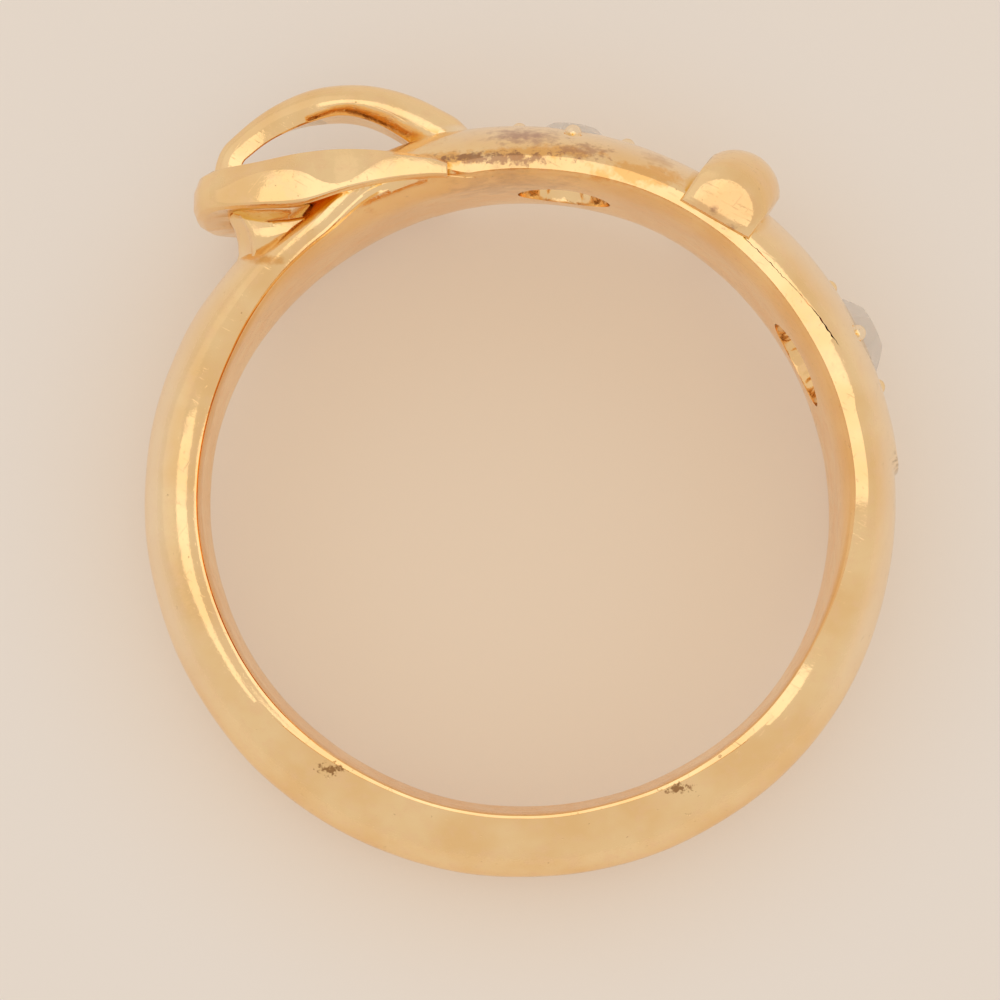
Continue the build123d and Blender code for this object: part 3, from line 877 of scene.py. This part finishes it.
@dataclass
class Tongue:
    """The arched tongue, from the frame's outer end bar over to the strap."""

    width: float = 1.9
    root_width: float = 0.9
    thickness: float = 0.92
    foot_depth: float = 0.9
    root: Pair = (-8.13, 8.50)
    heel: Pair = (-8.13, 9.58)
    top: Pair = (-5.27, 12.05)
    tip: Pair = (-2.028, 10.30)
    landing: Pair = (-1.497, 9.786)
    bends: Triple = (0.75, 4.4, 0.8)
    # Where the straight above the root has sections, as shares of it
    root_shares: Row = (0, 0.25, 0.4, 0.5, 0.6)
    arc_steps: int = 26
    # It swells from the root, while its underside narrows and levels, and deepens to its foot on the strap
    swell_run: float = 2.88
    swell_power: float = 1.3
    full_along: Pair = (-7.2, 2.6)
    foot_start: float = -5.25
    # Shares of the thickness at the root's foot and above it, where it is thinnest
    root_thick: float = 0.88
    thinnest: float = 0.74
    thin_height: Pair = (9.0, 0.5)
    tilt: float = 0.2

    def route(self) -> list[tuple[Vector, Vector]]:
        """Points of the tongue's middle line, each with its direction."""
        corners = [Vector(p) for p in (self.root, self.heel, self.top, self.tip, self.landing)]
        rise = corners[1] - corners[0]
        line = [(corners[0] + rise * share, rise.normalized()) for share in self.root_shares]
        for before, corner, after, radius in zip(corners, corners[1:], corners[2:], self.bends):
            come, leave = (corner - before).normalized(), (after - corner).normalized()
            turn = come.angle(leave)
            way = 1 if come.x * leave.y - come.y * leave.x > 0 else -1
            start = corner - come * (radius * math.tan(turn / 2))
            centre = start + Vector((-come.y, come.x)) * (way * radius)
            steps = max(4, round(self.arc_steps * turn))
            for step in range(steps + 1):
                swing = Matrix.Rotation(way * turn * step / steps, 2)
                line.append((centre + swing @ (start - centre), swing @ come))
        line.append((corners[-1], (corners[-1] - corners[-2]).normalized()))
        return line

    def section(self, width: float, thick: float, full: float) -> list[Pair]:
        """The D-shaped section.

        Args:
            width: how wide the tongue is
            thick: share of its thickness
            full: from 0, a broad tilted underside, to 1, a narrower level one

        Returns:
            Its corners, across the tongue and up from its middle line.
        """
        w, t = width / 2, self.thickness / 2 * thick
        low, widest = max(0.12, w - 0.1 - 0.12 * full), -0.3 * t
        points = [
            (-low, -t), (low, -t), (low + 0.06, -0.89 * t), (w - 0.04, widest - 0.15 * t), (w - 0.01, widest),
        ]
        points += [
            (w * math.cos(a), widest + (t - widest) * math.sin(a)) for a in np.linspace(0.14, math.pi / 2, 11)
        ]
        points += [(-x, y) for x, y in reversed(points[2:-1])]
        return [(x, y + self.tilt * x * (1 - full) * (y < widest - 0.1 * t)) for x, y in points]

    def build(self) -> Piece:
        """Skins the tongue along its route.

        Returns:
            The tongue.
        """
        sections = []
        for point, way in self.route():
            share = float(ramp(point.x, self.root[0], self.swell_run))
            width = self.root_width + (self.width - self.root_width) * share**self.swell_power
            full = float(ramp(point.x, *self.full_along))
            above = float(ramp(point.y, *self.thin_height))
            at_root = self.root_thick - (self.root_thick - self.thinnest) * above
            thick = max(self.thinnest + (1 - self.thinnest) * share, at_root)
            foot = ramp(point.x, self.foot_start, self.tip[0] - self.foot_start)
            deep = 1 + self.foot_depth * float(foot)
            up = Vector((-way.y, way.x))
            corners = [(x, y * deep if y < 0 else y) for x, y in self.section(width, thick, full)]
            sections.append([Vector((point.x + up.x * y, point.y + up.y * y, -x)) for x, y in corners])
        return Carver.piece("tongue", skin(sections))


@dataclass
class Setting:
    """An open-backed setting: the stone's seat, the beads that hold it and the cuts they were raised from."""

    angle: float
    surface: float
    stand: float
    belt: Belt = field(default_factory=Belt)
    diameter: float = 2.6
    clearance: float = 0.03
    back_diameter: float = 2.5
    back_depth: float = 0.15
    bore: float = 8.66
    # The cut, in shares of the stone's diameter, and the throat under its girdle
    crown_share: float = 0.225
    girdle_share: float = 0.035
    throat_share: float = 0.76
    pavilion: Pair = (0.4, 0.47)
    flutes: int = 20
    flutes_in: float = 0.035
    bead: float = 0.24
    bead_sink: float = 0.06
    end_bead_sink: float = 0.18
    gouge: float = 0.26
    gouge_depth: float = 0.2

    @property
    def table(self) -> float:
        """Radius of the stone's table from the finger axis."""
        return self.surface + self.stand

    @property
    def girdle_top(self) -> float:
        """Radius of the girdle's upper edge."""
        return self.table - self.crown_share * self.diameter

    def seat(self) -> Piece:
        """What is cut away for the stone and its open back, whose wall is fluted by the graver."""
        r = self.diameter / 2 + self.clearance
        throat_r = self.throat_share * r
        girdle_low = self.girdle_top - self.girdle_share * self.diameter
        depth, reach = self.pavilion
        throat = girdle_low - (r - throat_r) * depth / reach - 3 * self.clearance
        back_r = self.back_diameter / 2
        rings = [
            (back_r + 0.05, self.bore - 1.0, 0.0), (back_r + 0.03, self.bore + 0.04, 0.0),
            (back_r - 0.03, self.bore + self.back_depth, 0.03), (throat_r, throat, self.flutes_in),
            (r, girdle_low - self.clearance, 0.0), (r, self.table + 1, 0.0),
        ]
        sides = self.flutes * 4
        turns = [TAU * step / sides for step in range(sides)]
        sections = []
        for radius, height, wave in rings:
            radii = [radius * (1 + wave * math.cos(a * self.flutes)) for a in turns]
            flat = [(r * math.cos(a), r * math.sin(a)) for a, r in zip(turns, radii)]
            sections.append([Vector((x, y, height)) for x, y in flat])
        bm = skin(sections)
        bmesh.ops.transform(bm, verts=bm.verts, matrix=outward_matrix(self.angle, 0))
        return Carver.piece("seat", bm)

    def dome(self, across: float) -> float:
        """Radius of the belt's outer face at a distance from mid width."""
        at = np.array([self.angle])
        return float(self.belt.outer(at, np.array([across]), self.belt.half_width(at))[0])

    def ball(self, radius: float, reach: float, height: float, index: int, name: str) -> Piece:
        """A small ball beside the stone.

        Args:
            radius: its size
            reach: its distance from the stone's axis
            height: its centre's radius from the finger axis
            index: which quarter it lies in
            name: what to call it

        Returns:
            The ball.
        """
        bm = bmesh.new()
        bmesh.ops.create_uvsphere(bm, u_segments=16, v_segments=10, radius=radius)
        place = outward_matrix(self.angle, 0) @ Matrix.Rotation(index * math.pi / 2, 4, "Z")
        bmesh.ops.transform(bm, verts=bm.verts, matrix=place @ Matrix.Translation((reach, 0, height)))
        return Carver.piece(name, bm)

    def gouges(self) -> list[Piece]:
        """The four cuts that the beads were raised from."""
        reach = self.diameter / 2 + 1.8 * self.bead + self.gouge
        heights = [self.dome(reach * (index % 2)) + self.gouge - self.gouge_depth for index in range(4)]
        return [self.ball(self.gouge, reach, height, i, "gouge") for i, height in enumerate(heights)]

    def beads(self) -> list[Piece]:
        """The four beads pushed over the stone's edge."""
        reach = self.diameter / 2 + self.clearance + 0.8 * self.bead
        heights = []
        for index in range(4):
            lift = max(self.dome(reach), self.girdle_top) - self.bead_sink
            heights.append(lift if index % 2 else self.dome(0) - self.end_bead_sink)
        return [self.ball(self.bead, reach, height, i, "bead") for i, height in enumerate(heights)]


class Graph:
    """Adds and joins nodes in a tree."""

    def __init__(self, tree: bpy.types.NodeTree) -> None:
        """Holds the tree."""
        self.tree = tree

    def add(
        self, kind: str, sockets: dict[str | int, object] | None = None, **settings: object
    ) -> bpy.types.Node:
        """Adds a node.

        Args:
            kind: its type's name after ShaderNode
            sockets: values for its inputs, or the outputs that feed them
            settings: its own properties

        Returns:
            The node.
        """
        node = self.tree.nodes.new("ShaderNode" + kind if not kind.startswith("Node") else kind)
        for name, value in settings.items():
            setattr(node, name, value)
        for key, value in (sockets or {}).items():
            if isinstance(value, Socket):
                self.tree.links.new(value, node.inputs[key])
            else:
                node.inputs[key].default_value = value
        return node

    def maths(self, operation: str, *terms: object, clamp: bool = False) -> Socket:
        """A sum of numbers or outputs by one Math node."""
        node = self.add("Math", dict(enumerate(terms)), operation=operation, use_clamp=clamp)
        return node.outputs[0]

    def rest(self, value: object) -> Socket:
        """What is left of 1."""
        return self.maths("SUBTRACT", 1.0, value)

    def step(self, value: object, low: float, high: float) -> Socket:
        """A soft step from 0 at low to 1 at high."""
        sockets = {"Value": value, "From Min": low, "From Max": high}
        node = self.add("MapRange", sockets, interpolation_type="SMOOTHSTEP")
        return node.outputs["Result"]

    def mix(self, share: object, first: object, second: object) -> Socket:
        """A mix of two colours."""
        node = self.add("Mix", None, data_type="RGBA")
        for key, value in ((0, share), (6, first), (7, second)):
            if isinstance(value, Socket):
                self.tree.links.new(value, node.inputs[key])
            else:
                node.inputs[key].default_value = value
        return node.outputs[2]


def shader_nodes(material: bpy.types.Material) -> tuple[Graph, bpy.types.Node]:
    """A material's nodes and its main shader."""
    material.use_nodes = True
    return Graph(material.node_tree), material.node_tree.nodes["Principled BSDF"]


class Effect(Enum):
    """The shader node groups that the finishes share."""

    PATCH = "patch"
    SCRATCHES = "scratches"

    def group(self) -> bpy.types.NodeTree:
        """The group, built at its first use."""
        if self.value in bpy.data.node_groups:
            return bpy.data.node_groups[self.value]
        tree = bpy.data.node_groups.new(self.value, "ShaderNodeTree")
        build = {Effect.PATCH: build_patch, Effect.SCRATCHES: build_scratches}[self]
        build(tree)
        return tree


def group_sockets(
    tree: bpy.types.NodeTree, inputs: dict[str, tuple[str, object]], output: str
) -> tuple[Graph, bpy.types.Node, bpy.types.Node]:
    """Gives a group its sockets.

    Args:
        tree: the group
        inputs: each input's type and default, by name
        output: the name of its one output, a number

    Returns:
        The group's graph, its input node and its output node.
    """
    for name, (kind, value) in inputs.items():
        socket = tree.interface.new_socket(name=name, in_out="INPUT", socket_type=kind)
        if value is not None:
            socket.default_value = value
    tree.interface.new_socket(name=output, in_out="OUTPUT", socket_type="NodeSocketFloat")
    graph = Graph(tree)
    return graph, graph.add("NodeGroupInput"), graph.add("NodeGroupOutput")


def build_patch(tree: bpy.types.NodeTree) -> None:
    """A ragged patch: strong inside an ellipsoid, broken up by noise towards its edge."""
    inputs = {
        "Place": ("NodeSocketVector", None), "Centre": ("NodeSocketVector", (0, 0, 0)),
        "Reach": ("NodeSocketVector", (1, 1, 1)), "Grain": ("NodeSocketFloat", 3.0),
        "Raggedness": ("NodeSocketFloat", 0.8), "Softness": ("NodeSocketFloat", 0.12),
    }
    g, entry, leave = group_sockets(tree, inputs, "Mask")
    place, grain = entry.outputs["Place"], entry.outputs["Grain"]
    away = g.add("VectorMath", {0: place, 1: entry.outputs["Centre"]}, operation="SUBTRACT")
    share = g.add("VectorMath", {0: away.outputs[0], 1: entry.outputs["Reach"]}, operation="DIVIDE")
    length = g.add("VectorMath", {0: share.outputs[0]}, operation="LENGTH").outputs["Value"]
    noisy = g.add("TexNoise", {"Vector": place, "Scale": grain, "Detail": 5.0, "Roughness": 0.62})
    speck = noisy.outputs["Fac"]
    push = g.maths("MULTIPLY", g.maths("SUBTRACT", speck, 0.5), entry.outputs["Raggedness"])
    inside = g.maths("SUBTRACT", g.maths("ADD", 1.0, g.maths("MULTIPLY", push, 3.0)), length)
    soft = g.maths("DIVIDE", inside, entry.outputs["Softness"], clamp=True)
    tree.links.new(soft, leave.inputs["Mask"])


def build_scratches(tree: bpy.types.NodeTree) -> None:
    """Fine straight scratches that run one way."""
    inputs = {
        "Place": ("NodeSocketVector", None), "Turn": ("NodeSocketVector", (0, 0, 0)),
        "Stretch": ("NodeSocketVector", (1.0, 14.0, 14.0)), "Rarity": ("NodeSocketFloat", 0.66),
    }
    g, entry, leave = group_sockets(tree, inputs, "Depth")
    sockets = {"Vector": entry.outputs["Place"], "Rotation": entry.outputs["Turn"]}
    turned = g.add("VectorRotate", sockets, rotation_type="EULER_XYZ")
    long = g.add("VectorMath", {0: turned.outputs[0], 1: entry.outputs["Stretch"]}, operation="MULTIPLY")
    speck = g.add("TexNoise", {"Vector": long.outputs[0], "Scale": 1.0, "Detail": 2.0, "Roughness": 0.5})
    over = g.maths("SUBTRACT", speck.outputs["Fac"], entry.outputs["Rarity"])
    tree.links.new(g.maths("MULTIPLY", over, 9.0, clamp=True), leave.inputs["Depth"])


@dataclass(frozen=True)
class StainAndShade:
    """One patch of colour in the ring's own frame, for stains and for painted shade and reflection."""

    centre: Triple
    reach: Triple
    colour: Colour
    strength: float
    grain: float = 3.0
    raggedness: float = 0.8
    softness: float = 0.35

    def mask(self, g: Graph, place: Socket) -> Socket:
        """How strong the patch is at the surface point."""
        sockets = {
            "Place": place, "Centre": self.centre, "Reach": self.reach, "Grain": self.grain,
            "Raggedness": self.raggedness, "Softness": self.softness,
        }
        patch = g.add("Group", sockets, node_tree=Effect.PATCH.group())
        return g.maths("MULTIPLY", patch.outputs["Mask"], self.strength)


@dataclass(frozen=True)
class WornGold:
    """Warm, softly polished antique gold with stains, scratches, crevice dirt and painted shade, sheen and
    reflection, in the ring's own frame.
    """

    bright: Colour = linear(255, 226, 176)
    deep: Colour = linear(249, 212, 155)
    rosy: Colour = linear(252, 215, 170)
    # Painted shade and reflection: the deeper gold of recesses and of the hole's rims
    shaded: Colour = linear(238, 184, 88)
    # Dark dirt and painted shade in the deepest recesses
    dirt_and_shade: Colour = linear(120, 76, 30)
    # Painted pale sheen on the outside, from one radius to another and up from the ring's back
    painted_pale_sheen: Colour = linear(254, 238, 214)
    pale_sheen_share: float = 0.75
    pale_sheen_radii: Pair = (9.4, 10.3)
    pale_sheen_above: Pair = (-7.0, -3.0)
    # But not the buckle, above and left of these, nor what stands out from the belt, nor the keeper
    buckle_above: Pair = (6.0, 7.2)
    buckle_left: Pair = (-2.4, -1.4)
    raised_radii: Pair = (10.45, 10.6)
    keeper_angle: float = 35.2
    keeper_half: Pair = (1.0, 1.3)
    keeper_above: Pair = (0.0, 2.0)
    # Painted shade: recesses turn deeper gold, and the deepest get dark dirt and painted shade in places
    shaded_from: Pair = (0.17, 0.48)
    dirt_and_shade_from: Pair = (0.42, 0.8)
    smooth: float = 0.11
    rough: float = 0.21
    # Depths of the unevenness, in millimetres, and each run of scratches: its turn and rarity
    wave_depth: float = 0.012
    fine_depth: float = 0.010
    scratch_depth: float = 0.0035
    pit_depth: float = 0.02
    scratch_runs: tuple[tuple[Triple, float], ...] = (
        ((0, 0, 0.5), 0.66), ((0, 0, -0.9), 0.68), ((0.4, 0.2, 1.3), 0.67),
    )
    edge_tint: Colour = linear(255, 249, 240)
    stains_and_shade: tuple[StainAndShade, ...] = (
        # Painted shade and reflection: deep orange under the near rail and on the neck's low facets
        StainAndShade((-5.9, 7.76, 2.5), (1.9, 0.22, 0.8), linear(222, 154, 62), 0.8, 2.0, 0.4, 0.4),
        StainAndShade((-6.7, 6.4, 2.6), (0.6, 0.18, 0.6), linear(222, 156, 62), 0.7, 2.0, 0.5, 0.5),
        # Orange-gold along the head's near side
        StainAndShade((-2.0, 9.12, 3.0), (1.2, 0.26, 0.5), linear(240, 182, 104), 0.7, 3.0, 0.8, 0.5),
        StainAndShade((0.65, 9.28, 3.0), (1.9, 0.24, 0.5), linear(240, 182, 104), 0.7, 3.0, 0.8, 0.5),
        StainAndShade((3.4, 8.68, 3.0), (1.7, 0.42, 0.5), linear(240, 182, 104), 0.7, 3.0, 0.8, 0.5),
        # Stains: tarnish and dark marks on and inside the head
        StainAndShade((0.1, 9.8, 2.4), (1.2, 0.42, 1.1), linear(172, 130, 126), 0.7, 3.6, 0.9, 0.9),
        StainAndShade((-0.6, 9.1, 3.0), (1.9, 0.2, 0.7), linear(150, 108, 88), 0.75, 5.0, 1.1, 0.5),
        StainAndShade((1.7, 9.3, 2.7), (0.8, 0.35, 0.8), linear(176, 130, 108), 0.6, 5.0, 1.2, 0.7),
        StainAndShade((-0.4, 8.7, 1.6), (2.4, 0.5, 1.6), linear(190, 158, 132), 0.6, 1.8, 0.9, 0.9),
        StainAndShade((3.9, 9.3, 2.4), (0.5, 0.42, 0.9), linear(196, 142, 84), 0.7, 2.8, 0.6, 0.9),
        # Painted shade: the keeper's near end is dulled from its highlight
        StainAndShade((5.5, 7.7, 3.45), (1.0, 0.8, 0.5), linear(243, 200, 146), 0.75, 1.6, 0.5, 0.5),
        # Stains: pits in the keeper's end, and dark marks at the back
        StainAndShade((5.2, 7.68, 3.4), (0.15, 0.13, 0.4), linear(150, 112, 96), 0.55, 8.0, 1.0, 0.9),
        StainAndShade((5.62, 7.2, 3.4), (0.24, 0.1, 0.4), linear(156, 120, 104), 0.5, 8.0, 1.2, 0.9),
        StainAndShade((-5.15, -7.35, 1.4), (0.4, 0.18, 0.5), linear(140, 92, 44), 0.8, 8.0, 1.6, 0.6),
        StainAndShade((4.3, -7.85, 1.4), (0.4, 0.15, 0.5), linear(140, 92, 44), 0.8, 8.0, 1.6, 0.6),
    )

    def place(self, g: Graph, lay: Lay) -> Socket:
        """The surface point in the ring's own frame, in millimetres.

        Args:
            g: the material's nodes
            lay: how the ring lies

        Returns:
            The output that holds it.
        """
        here = g.add("TexCoord").outputs["Object"]
        back = lay.turn.inverted().to_euler()
        sockets = {"Vector": here, "Rotation": tuple(back), "Scale": (1 / MM, 1 / MM, 1 / MM)}
        return g.add("Mapping", sockets).outputs[0]

    def build(self, lay: Lay) -> bpy.types.Material:
        """Makes the material.

        Args:
            lay: how the ring lies, so that patterns can be placed in its own frame

        Returns:
            The material.
        """
        material = bpy.data.materials.new("worn_gold")
        g, shader = shader_nodes(material)
        place = self.place(g, lay)
        broad = g.add("TexNoise", {"Vector": place, "Scale": 0.45, "Detail": 3.0}).outputs["Fac"]
        sockets = {"Vector": place, "Scale": 2.3, "Detail": 4.0, "Roughness": 0.6}
        fine = g.add("TexNoise", sockets).outputs["Fac"]
        colour = g.mix(g.step(broad, 0.35, 0.65), self.bright, self.deep)
        colour = g.mix(g.maths("MULTIPLY", g.step(fine, 0.45, 0.7), 0.5), colour, self.rosy)
        # Painted pale sheen on the outside
        colour = g.mix(g.maths("MULTIPLY", self.pale_sheen_mask(g, place), self.pale_sheen_share), colour, self.painted_pale_sheen)
        dulled = g.step(fine, 0.35, 0.7)
        # Stains, and patches of painted shade and reflection
        for stain_and_shade in self.stains_and_shade:
            mask = stain_and_shade.mask(g, place)
            colour = g.mix(mask, colour, stain_and_shade.colour)
            dulled = g.maths("MAXIMUM", dulled, mask)
        # Painted shade: recesses and the hole's rims turn deeper gold, and the deepest get dark dirt and
        # painted shade
        recess = g.add("Attribute", None, attribute_name="recess").outputs["Fac"]
        colour = g.mix(g.step(recess, *self.shaded_from), colour, self.shaded)
        ragged = g.maths("MULTIPLY", recess, g.step(fine, 0.3, 0.8))
        colour = g.mix(g.step(ragged, *self.dirt_and_shade_from), colour, self.dirt_and_shade)
        roughness = g.add("MapRange", {"Value": dulled, "To Min": self.smooth, "To Max": self.rough})
        g.tree.links.new(colour, shader.inputs["Base Color"])
        g.tree.links.new(roughness.outputs["Result"], shader.inputs["Roughness"])
        g.tree.links.new(self.relief(g, place, fine), shader.inputs["Normal"])
        shader.inputs["Metallic"].default_value = 1.0
        shader.inputs["Specular Tint"].default_value = self.edge_tint
        return material

    def pale_sheen_mask(self, g: Graph, place: Socket) -> Socket:
        """Where the outside gets its painted pale sheen.

        Args:
            g: the material's nodes
            place: the surface point

        Returns:
            A share of the painted sheen colour.
        """
        flat = g.add("VectorMath", {0: place, 1: (1.0, 1.0, 0.0)}, operation="MULTIPLY").outputs[0]
        reach = g.add("VectorMath", {0: flat}, operation="LENGTH").outputs["Value"]
        apart = g.add("SeparateXYZ", {"Vector": place})
        right, up = apart.outputs["X"], apart.outputs["Y"]
        along = tuple(around(self.keeper_angle + 90, 1.0))
        beside = g.add("VectorMath", {0: place, 1: along}, operation="DOT_PRODUCT").outputs["Value"]
        outside = g.maths("MULTIPLY", g.step(reach, *self.pale_sheen_radii), g.step(up, *self.pale_sheen_above))
        not_buckle = g.maths(
            "MAXIMUM", g.rest(g.step(up, *self.buckle_above)), g.step(right, *self.buckle_left)
        )
        off_keeper = g.maths(
            "MAXIMUM", g.step(g.maths("ABSOLUTE", beside), *self.keeper_half),
            g.rest(g.step(up, *self.keeper_above)),
        )
        low = g.rest(g.step(reach, *self.raised_radii))
        places = g.maths("MULTIPLY", outside, not_buckle)
        return g.maths("MULTIPLY", places, g.maths("MULTIPLY", low, off_keeper))

    def relief(self, g: Graph, place: Socket, fine: Socket) -> Socket:
        """Hand-worked unevenness, pits and fine scratches.

        Args:
            g: the material's nodes
            place: the surface point
            fine: a fine noise

        Returns:
            The bumped normal.
        """
        scratches: Socket | None = None
        for turn, rarity in self.scratch_runs:
            sockets = {"Place": place, "Turn": turn, "Rarity": rarity}
            depth = g.add("Group", sockets, node_tree=Effect.SCRATCHES.group()).outputs["Depth"]
            scratches = depth if scratches is None else g.maths("MAXIMUM", scratches, depth)
        wave = g.add("TexNoise", {"Vector": place, "Scale": 0.9, "Detail": 1.0}).outputs["Fac"]
        pits = g.add("TexNoise", {"Vector": place, "Scale": 5.5, "Detail": 2.0}).outputs["Fac"]
        sunk = g.step(pits, 0.74, 0.80)
        height = g.maths("MULTIPLY", wave, self.wave_depth)
        height = g.maths("ADD", height, g.maths("MULTIPLY", fine, self.fine_depth))
        height = g.maths("SUBTRACT", height, g.maths("MULTIPLY", scratches, self.scratch_depth))
        height = g.maths("SUBTRACT", height, g.maths("MULTIPLY", sunk, self.pit_depth))
        bump = g.add("Bump", {"Height": height, "Strength": 1.0, "Distance": MM})
        return bump.outputs["Normal"]


@dataclass(frozen=True)
class ClearGem:
    """A polished, faintly warm colourless gem."""

    tint: Colour = (1.0, 0.93, 0.86, 1.0)
    roughness: float = 0.02
    index: float = 1.5
    clearness: float = 0.35

    def build(self) -> bpy.types.Material:
        """Makes the material."""
        material = bpy.data.materials.new("clear_gem")
        shader = shader_nodes(material)[1]
        shader.inputs["Base Color"].default_value = self.tint
        shader.inputs["Roughness"].default_value = self.roughness
        shader.inputs["IOR"].default_value = self.index
        shader.inputs["Transmission Weight"].default_value = self.clearness
        return material


@dataclass
class Goldwork:
    """All the gold, soldered into one piece."""

    lay: Lay
    belt: Belt = field(default_factory=Belt)
    frame: Frame = field(default_factory=Frame)
    neck: Neck = field(default_factory=Neck)
    tongue: Tongue = field(default_factory=Tongue)
    keeper: Saddle = field(
        default_factory=lambda: Saddle(
            "keeper", 35.2, 2.12, 6.86, 11.61, 1.16, 0.62, rounding=0.26, bulge=0.05, depth=0.75, slant=0.1
        )
    )
    front_bar: Saddle = field(
        default_factory=lambda: Saddle("front_bar", -12.0, 1.3, 5.9, 10.47, 1.2, 0.2, rounding=0.1)
    )
    settings: tuple[Setting, ...] = (Setting(8.4, 10.36, 0.19), Setting(63.9, 10.49, 0.42))
    # The finger hole's cutter: heights where it follows the wall, how many, and those that end it
    wall_heights: Pair = (1.5, 2.95)
    wall_rows: int = 9
    end_heights: Triple = (3.0, 3.2, 8.0)
    hole_clear: float = 0.01
    # Grains and sizes of the handwork's unevenness
    wobbles: tuple[Pair, ...] = ((0.45, 0.02), (1.5, 0.003))
    recess_rays: int = 14
    recess_reach: float = 1.9
    recess_lift: float = 0.02
    # Painted reflection inside the hole's rims: how squarely they face the axis, then its strength and depth,
    # each with what it gains where the belt is narrow, and the painted shade of the whole back
    rim_facing: Pair = (0.88, 0.08)
    rim_strength: Pair = (0.26, 0.15)
    rim_depth: Pair = (0.75, 0.6)
    rim_run: float = 0.6
    back_strength: float = 0.33
    back_angles: Pair = (135.0, 20.0)
    sharp_angle: float = 38.0

    def build(self, material: bpy.types.Material) -> Piece:
        """Builds and joins everything.

        Args:
            material: the gold

        Returns:
            The finished piece.
        """
        gold = self.belt.build()
        log.info("belt: %d faces", len(gold.data.polygons))
        parts = [self.keeper.build(), self.frame.build(), self.front_bar.build(), self.tongue.build()]
        parts += self.neck.build()
        for part in parts:
            log.info("%s: %d faces", part.name, len(part.data.polygons))
        Carver.combine(gold, parts, "UNION")
        Carver.combine(gold, [self.hole()], "DIFFERENCE")
        for setting in self.settings:
            Carver.combine(gold, [setting.seat()] + setting.gouges(), "DIFFERENCE")
            Carver.combine(gold, setting.beads(), "UNION")
        self.wobble(gold)
        self.mark_recesses(gold)
        gold.name = "belt_and_buckle_dressed"
        gold.data.name = gold.name
        gold.data.transform(self.lay.to_row)
        gold.data.materials.clear()
        gold.data.materials.append(material)
        gold.data.shade_smooth()
        gold.data.set_sharp_from_angle(angle=math.radians(self.sharp_angle))
        log.info("gold: %d faces", len(gold.data.polygons))
        return gold

    def wobble(self, gold: Piece) -> None:
        """Makes the whole surface very slightly uneven, as handwork is."""
        for vert in gold.data.vertices:
            moves = [noise.noise_vector(vert.co * grain) * size for grain, size in self.wobbles]
            vert.co += sum(moves[1:], moves[0])

    def mark_recesses(self, gold: Piece) -> None:
        """Writes, at each corner point, how much of the space in front of it is closed in, for the gold's
        painted shade.

        Args:
            gold: the joined piece, in millimetres
        """
        mesh = gold.data
        tree = BVHTree.FromPolygons([v.co for v in mesh.vertices], [p.vertices for p in mesh.polygons])
        golden = math.pi * (3 - math.sqrt(5))
        rays = []
        for index in range(self.recess_rays):
            up = math.sqrt((index + 0.5) / self.recess_rays)
            flat = math.sqrt(1 - up * up)
            rays.append(Vector((flat * math.cos(golden * index), flat * math.sin(golden * index), up)))
        values = []
        for vert in mesh.vertices:
            normal = vert.normal
            turn = Vector((0, 0, 1)).rotation_difference(normal).to_matrix()
            start = vert.co + normal * self.recess_lift
            hits = 0.0
            for ray in rays:
                distance = tree.ray_cast(start, turn @ ray, self.recess_reach)[3]
                if distance is not None:
                    hits += 1 - distance / self.recess_reach
            # The hole's rims get painted reflection where it is more than the painted shade
            values.append(max(hits / self.recess_rays, self.rim_shade(vert.co, normal)))
        attribute = mesh.attributes.new("recess", "FLOAT", "POINT")
        attribute.data.foreach_set("value", values)

    def rim_shade(self, at: Vector, normal: Vector) -> float:
        """Painted reflection: the deeper gold just inside the finger hole's edge, where the ring mirrors
        itself, and painted shade over the whole back.

        Args:
            at: a point of the surface
            normal: its normal

        Returns:
            Its share, as a recess.
        """
        inward = -(at.x * normal.x + at.y * normal.y) / max(1e-6, math.hypot(at.x, at.y))
        facing = float(ramp(inward, *self.rim_facing))
        if facing == 0.0:
            return 0.0
        belt = self.belt
        angle = math.degrees(math.atan2(at.x, at.y))
        half = float(belt.half_width(np.array([angle]))[0])
        narrow = max(0.0, belt.width / 2 - half) / ((belt.width - belt.shank_width) / 2)
        strength = self.rim_strength[0] + self.rim_strength[1] * narrow
        # Only the near rim's painted reflection reaches deeper where the belt is narrow
        depth = self.rim_depth[0] + (self.rim_depth[1] * narrow if at.z > 0 else 0.0)
        edge = strength * float(ramp(abs(at.z), half - depth, self.rim_run))
        back = self.back_strength * float(ramp(abs(angle), *self.back_angles))
        return facing * max(back, edge)

    def hole(self) -> Piece:
        """The finger hole, which trims what reaches through the belt."""
        rising = list(np.linspace(*self.wall_heights, self.wall_rows))
        ends = list(self.end_heights)
        angles = np.arange(-180.0, 180.0, 1.0)
        sections = []
        for height in [-ends[-1]] + [-height for height in reversed(rising)] + rising + ends:
            # At its near end it leaves the rails whole, so the wear under the near one stops there
            across = -height if height >= ends[0] else height
            radii = self.belt.wall(angles, np.full(angles.shape, across)) - self.hole_clear
            sections.append([around(angle, radius, height) for angle, radius in zip(angles, radii)])
        return Carver.piece("finger_hole", skin(sections))


def triangles(made: Piece) -> int:
    """How many triangles a piece has."""
    made.data.calc_loop_triangles()
    return len(made.data.loop_triangles)


def main() -> None:
    """Builds the ring's looks."""
    logging.basicConfig(level=logging.INFO, format="%(name)s: %(message)s")
    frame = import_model()
    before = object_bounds()
    mounts = frame["record"]["mounts"]
    axis = next(m["axis"] for m in mounts if m["name"] == "finger_hole")
    lay = Lay(Vector(axis).normalized())
    Photograph().build(lay)
    Studio().build(before[0][2])
    gold = Goldwork(lay).build(WornGold().build(lay))
    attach(gold, "root")
    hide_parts("belt_and_buckle")
    log.info("%s: %d triangles", gold.name, triangles(gold))
    gem = ClearGem().build()
    for name in ("stone_by_buckle", "stone_by_tip"):
        stone = frame["nodes"][name]
        stone.data.materials.clear()
        stone.data.materials.append(gem)
        log.info("%s: cut stone dressed", name)


if __name__ == "__main__":
    main()
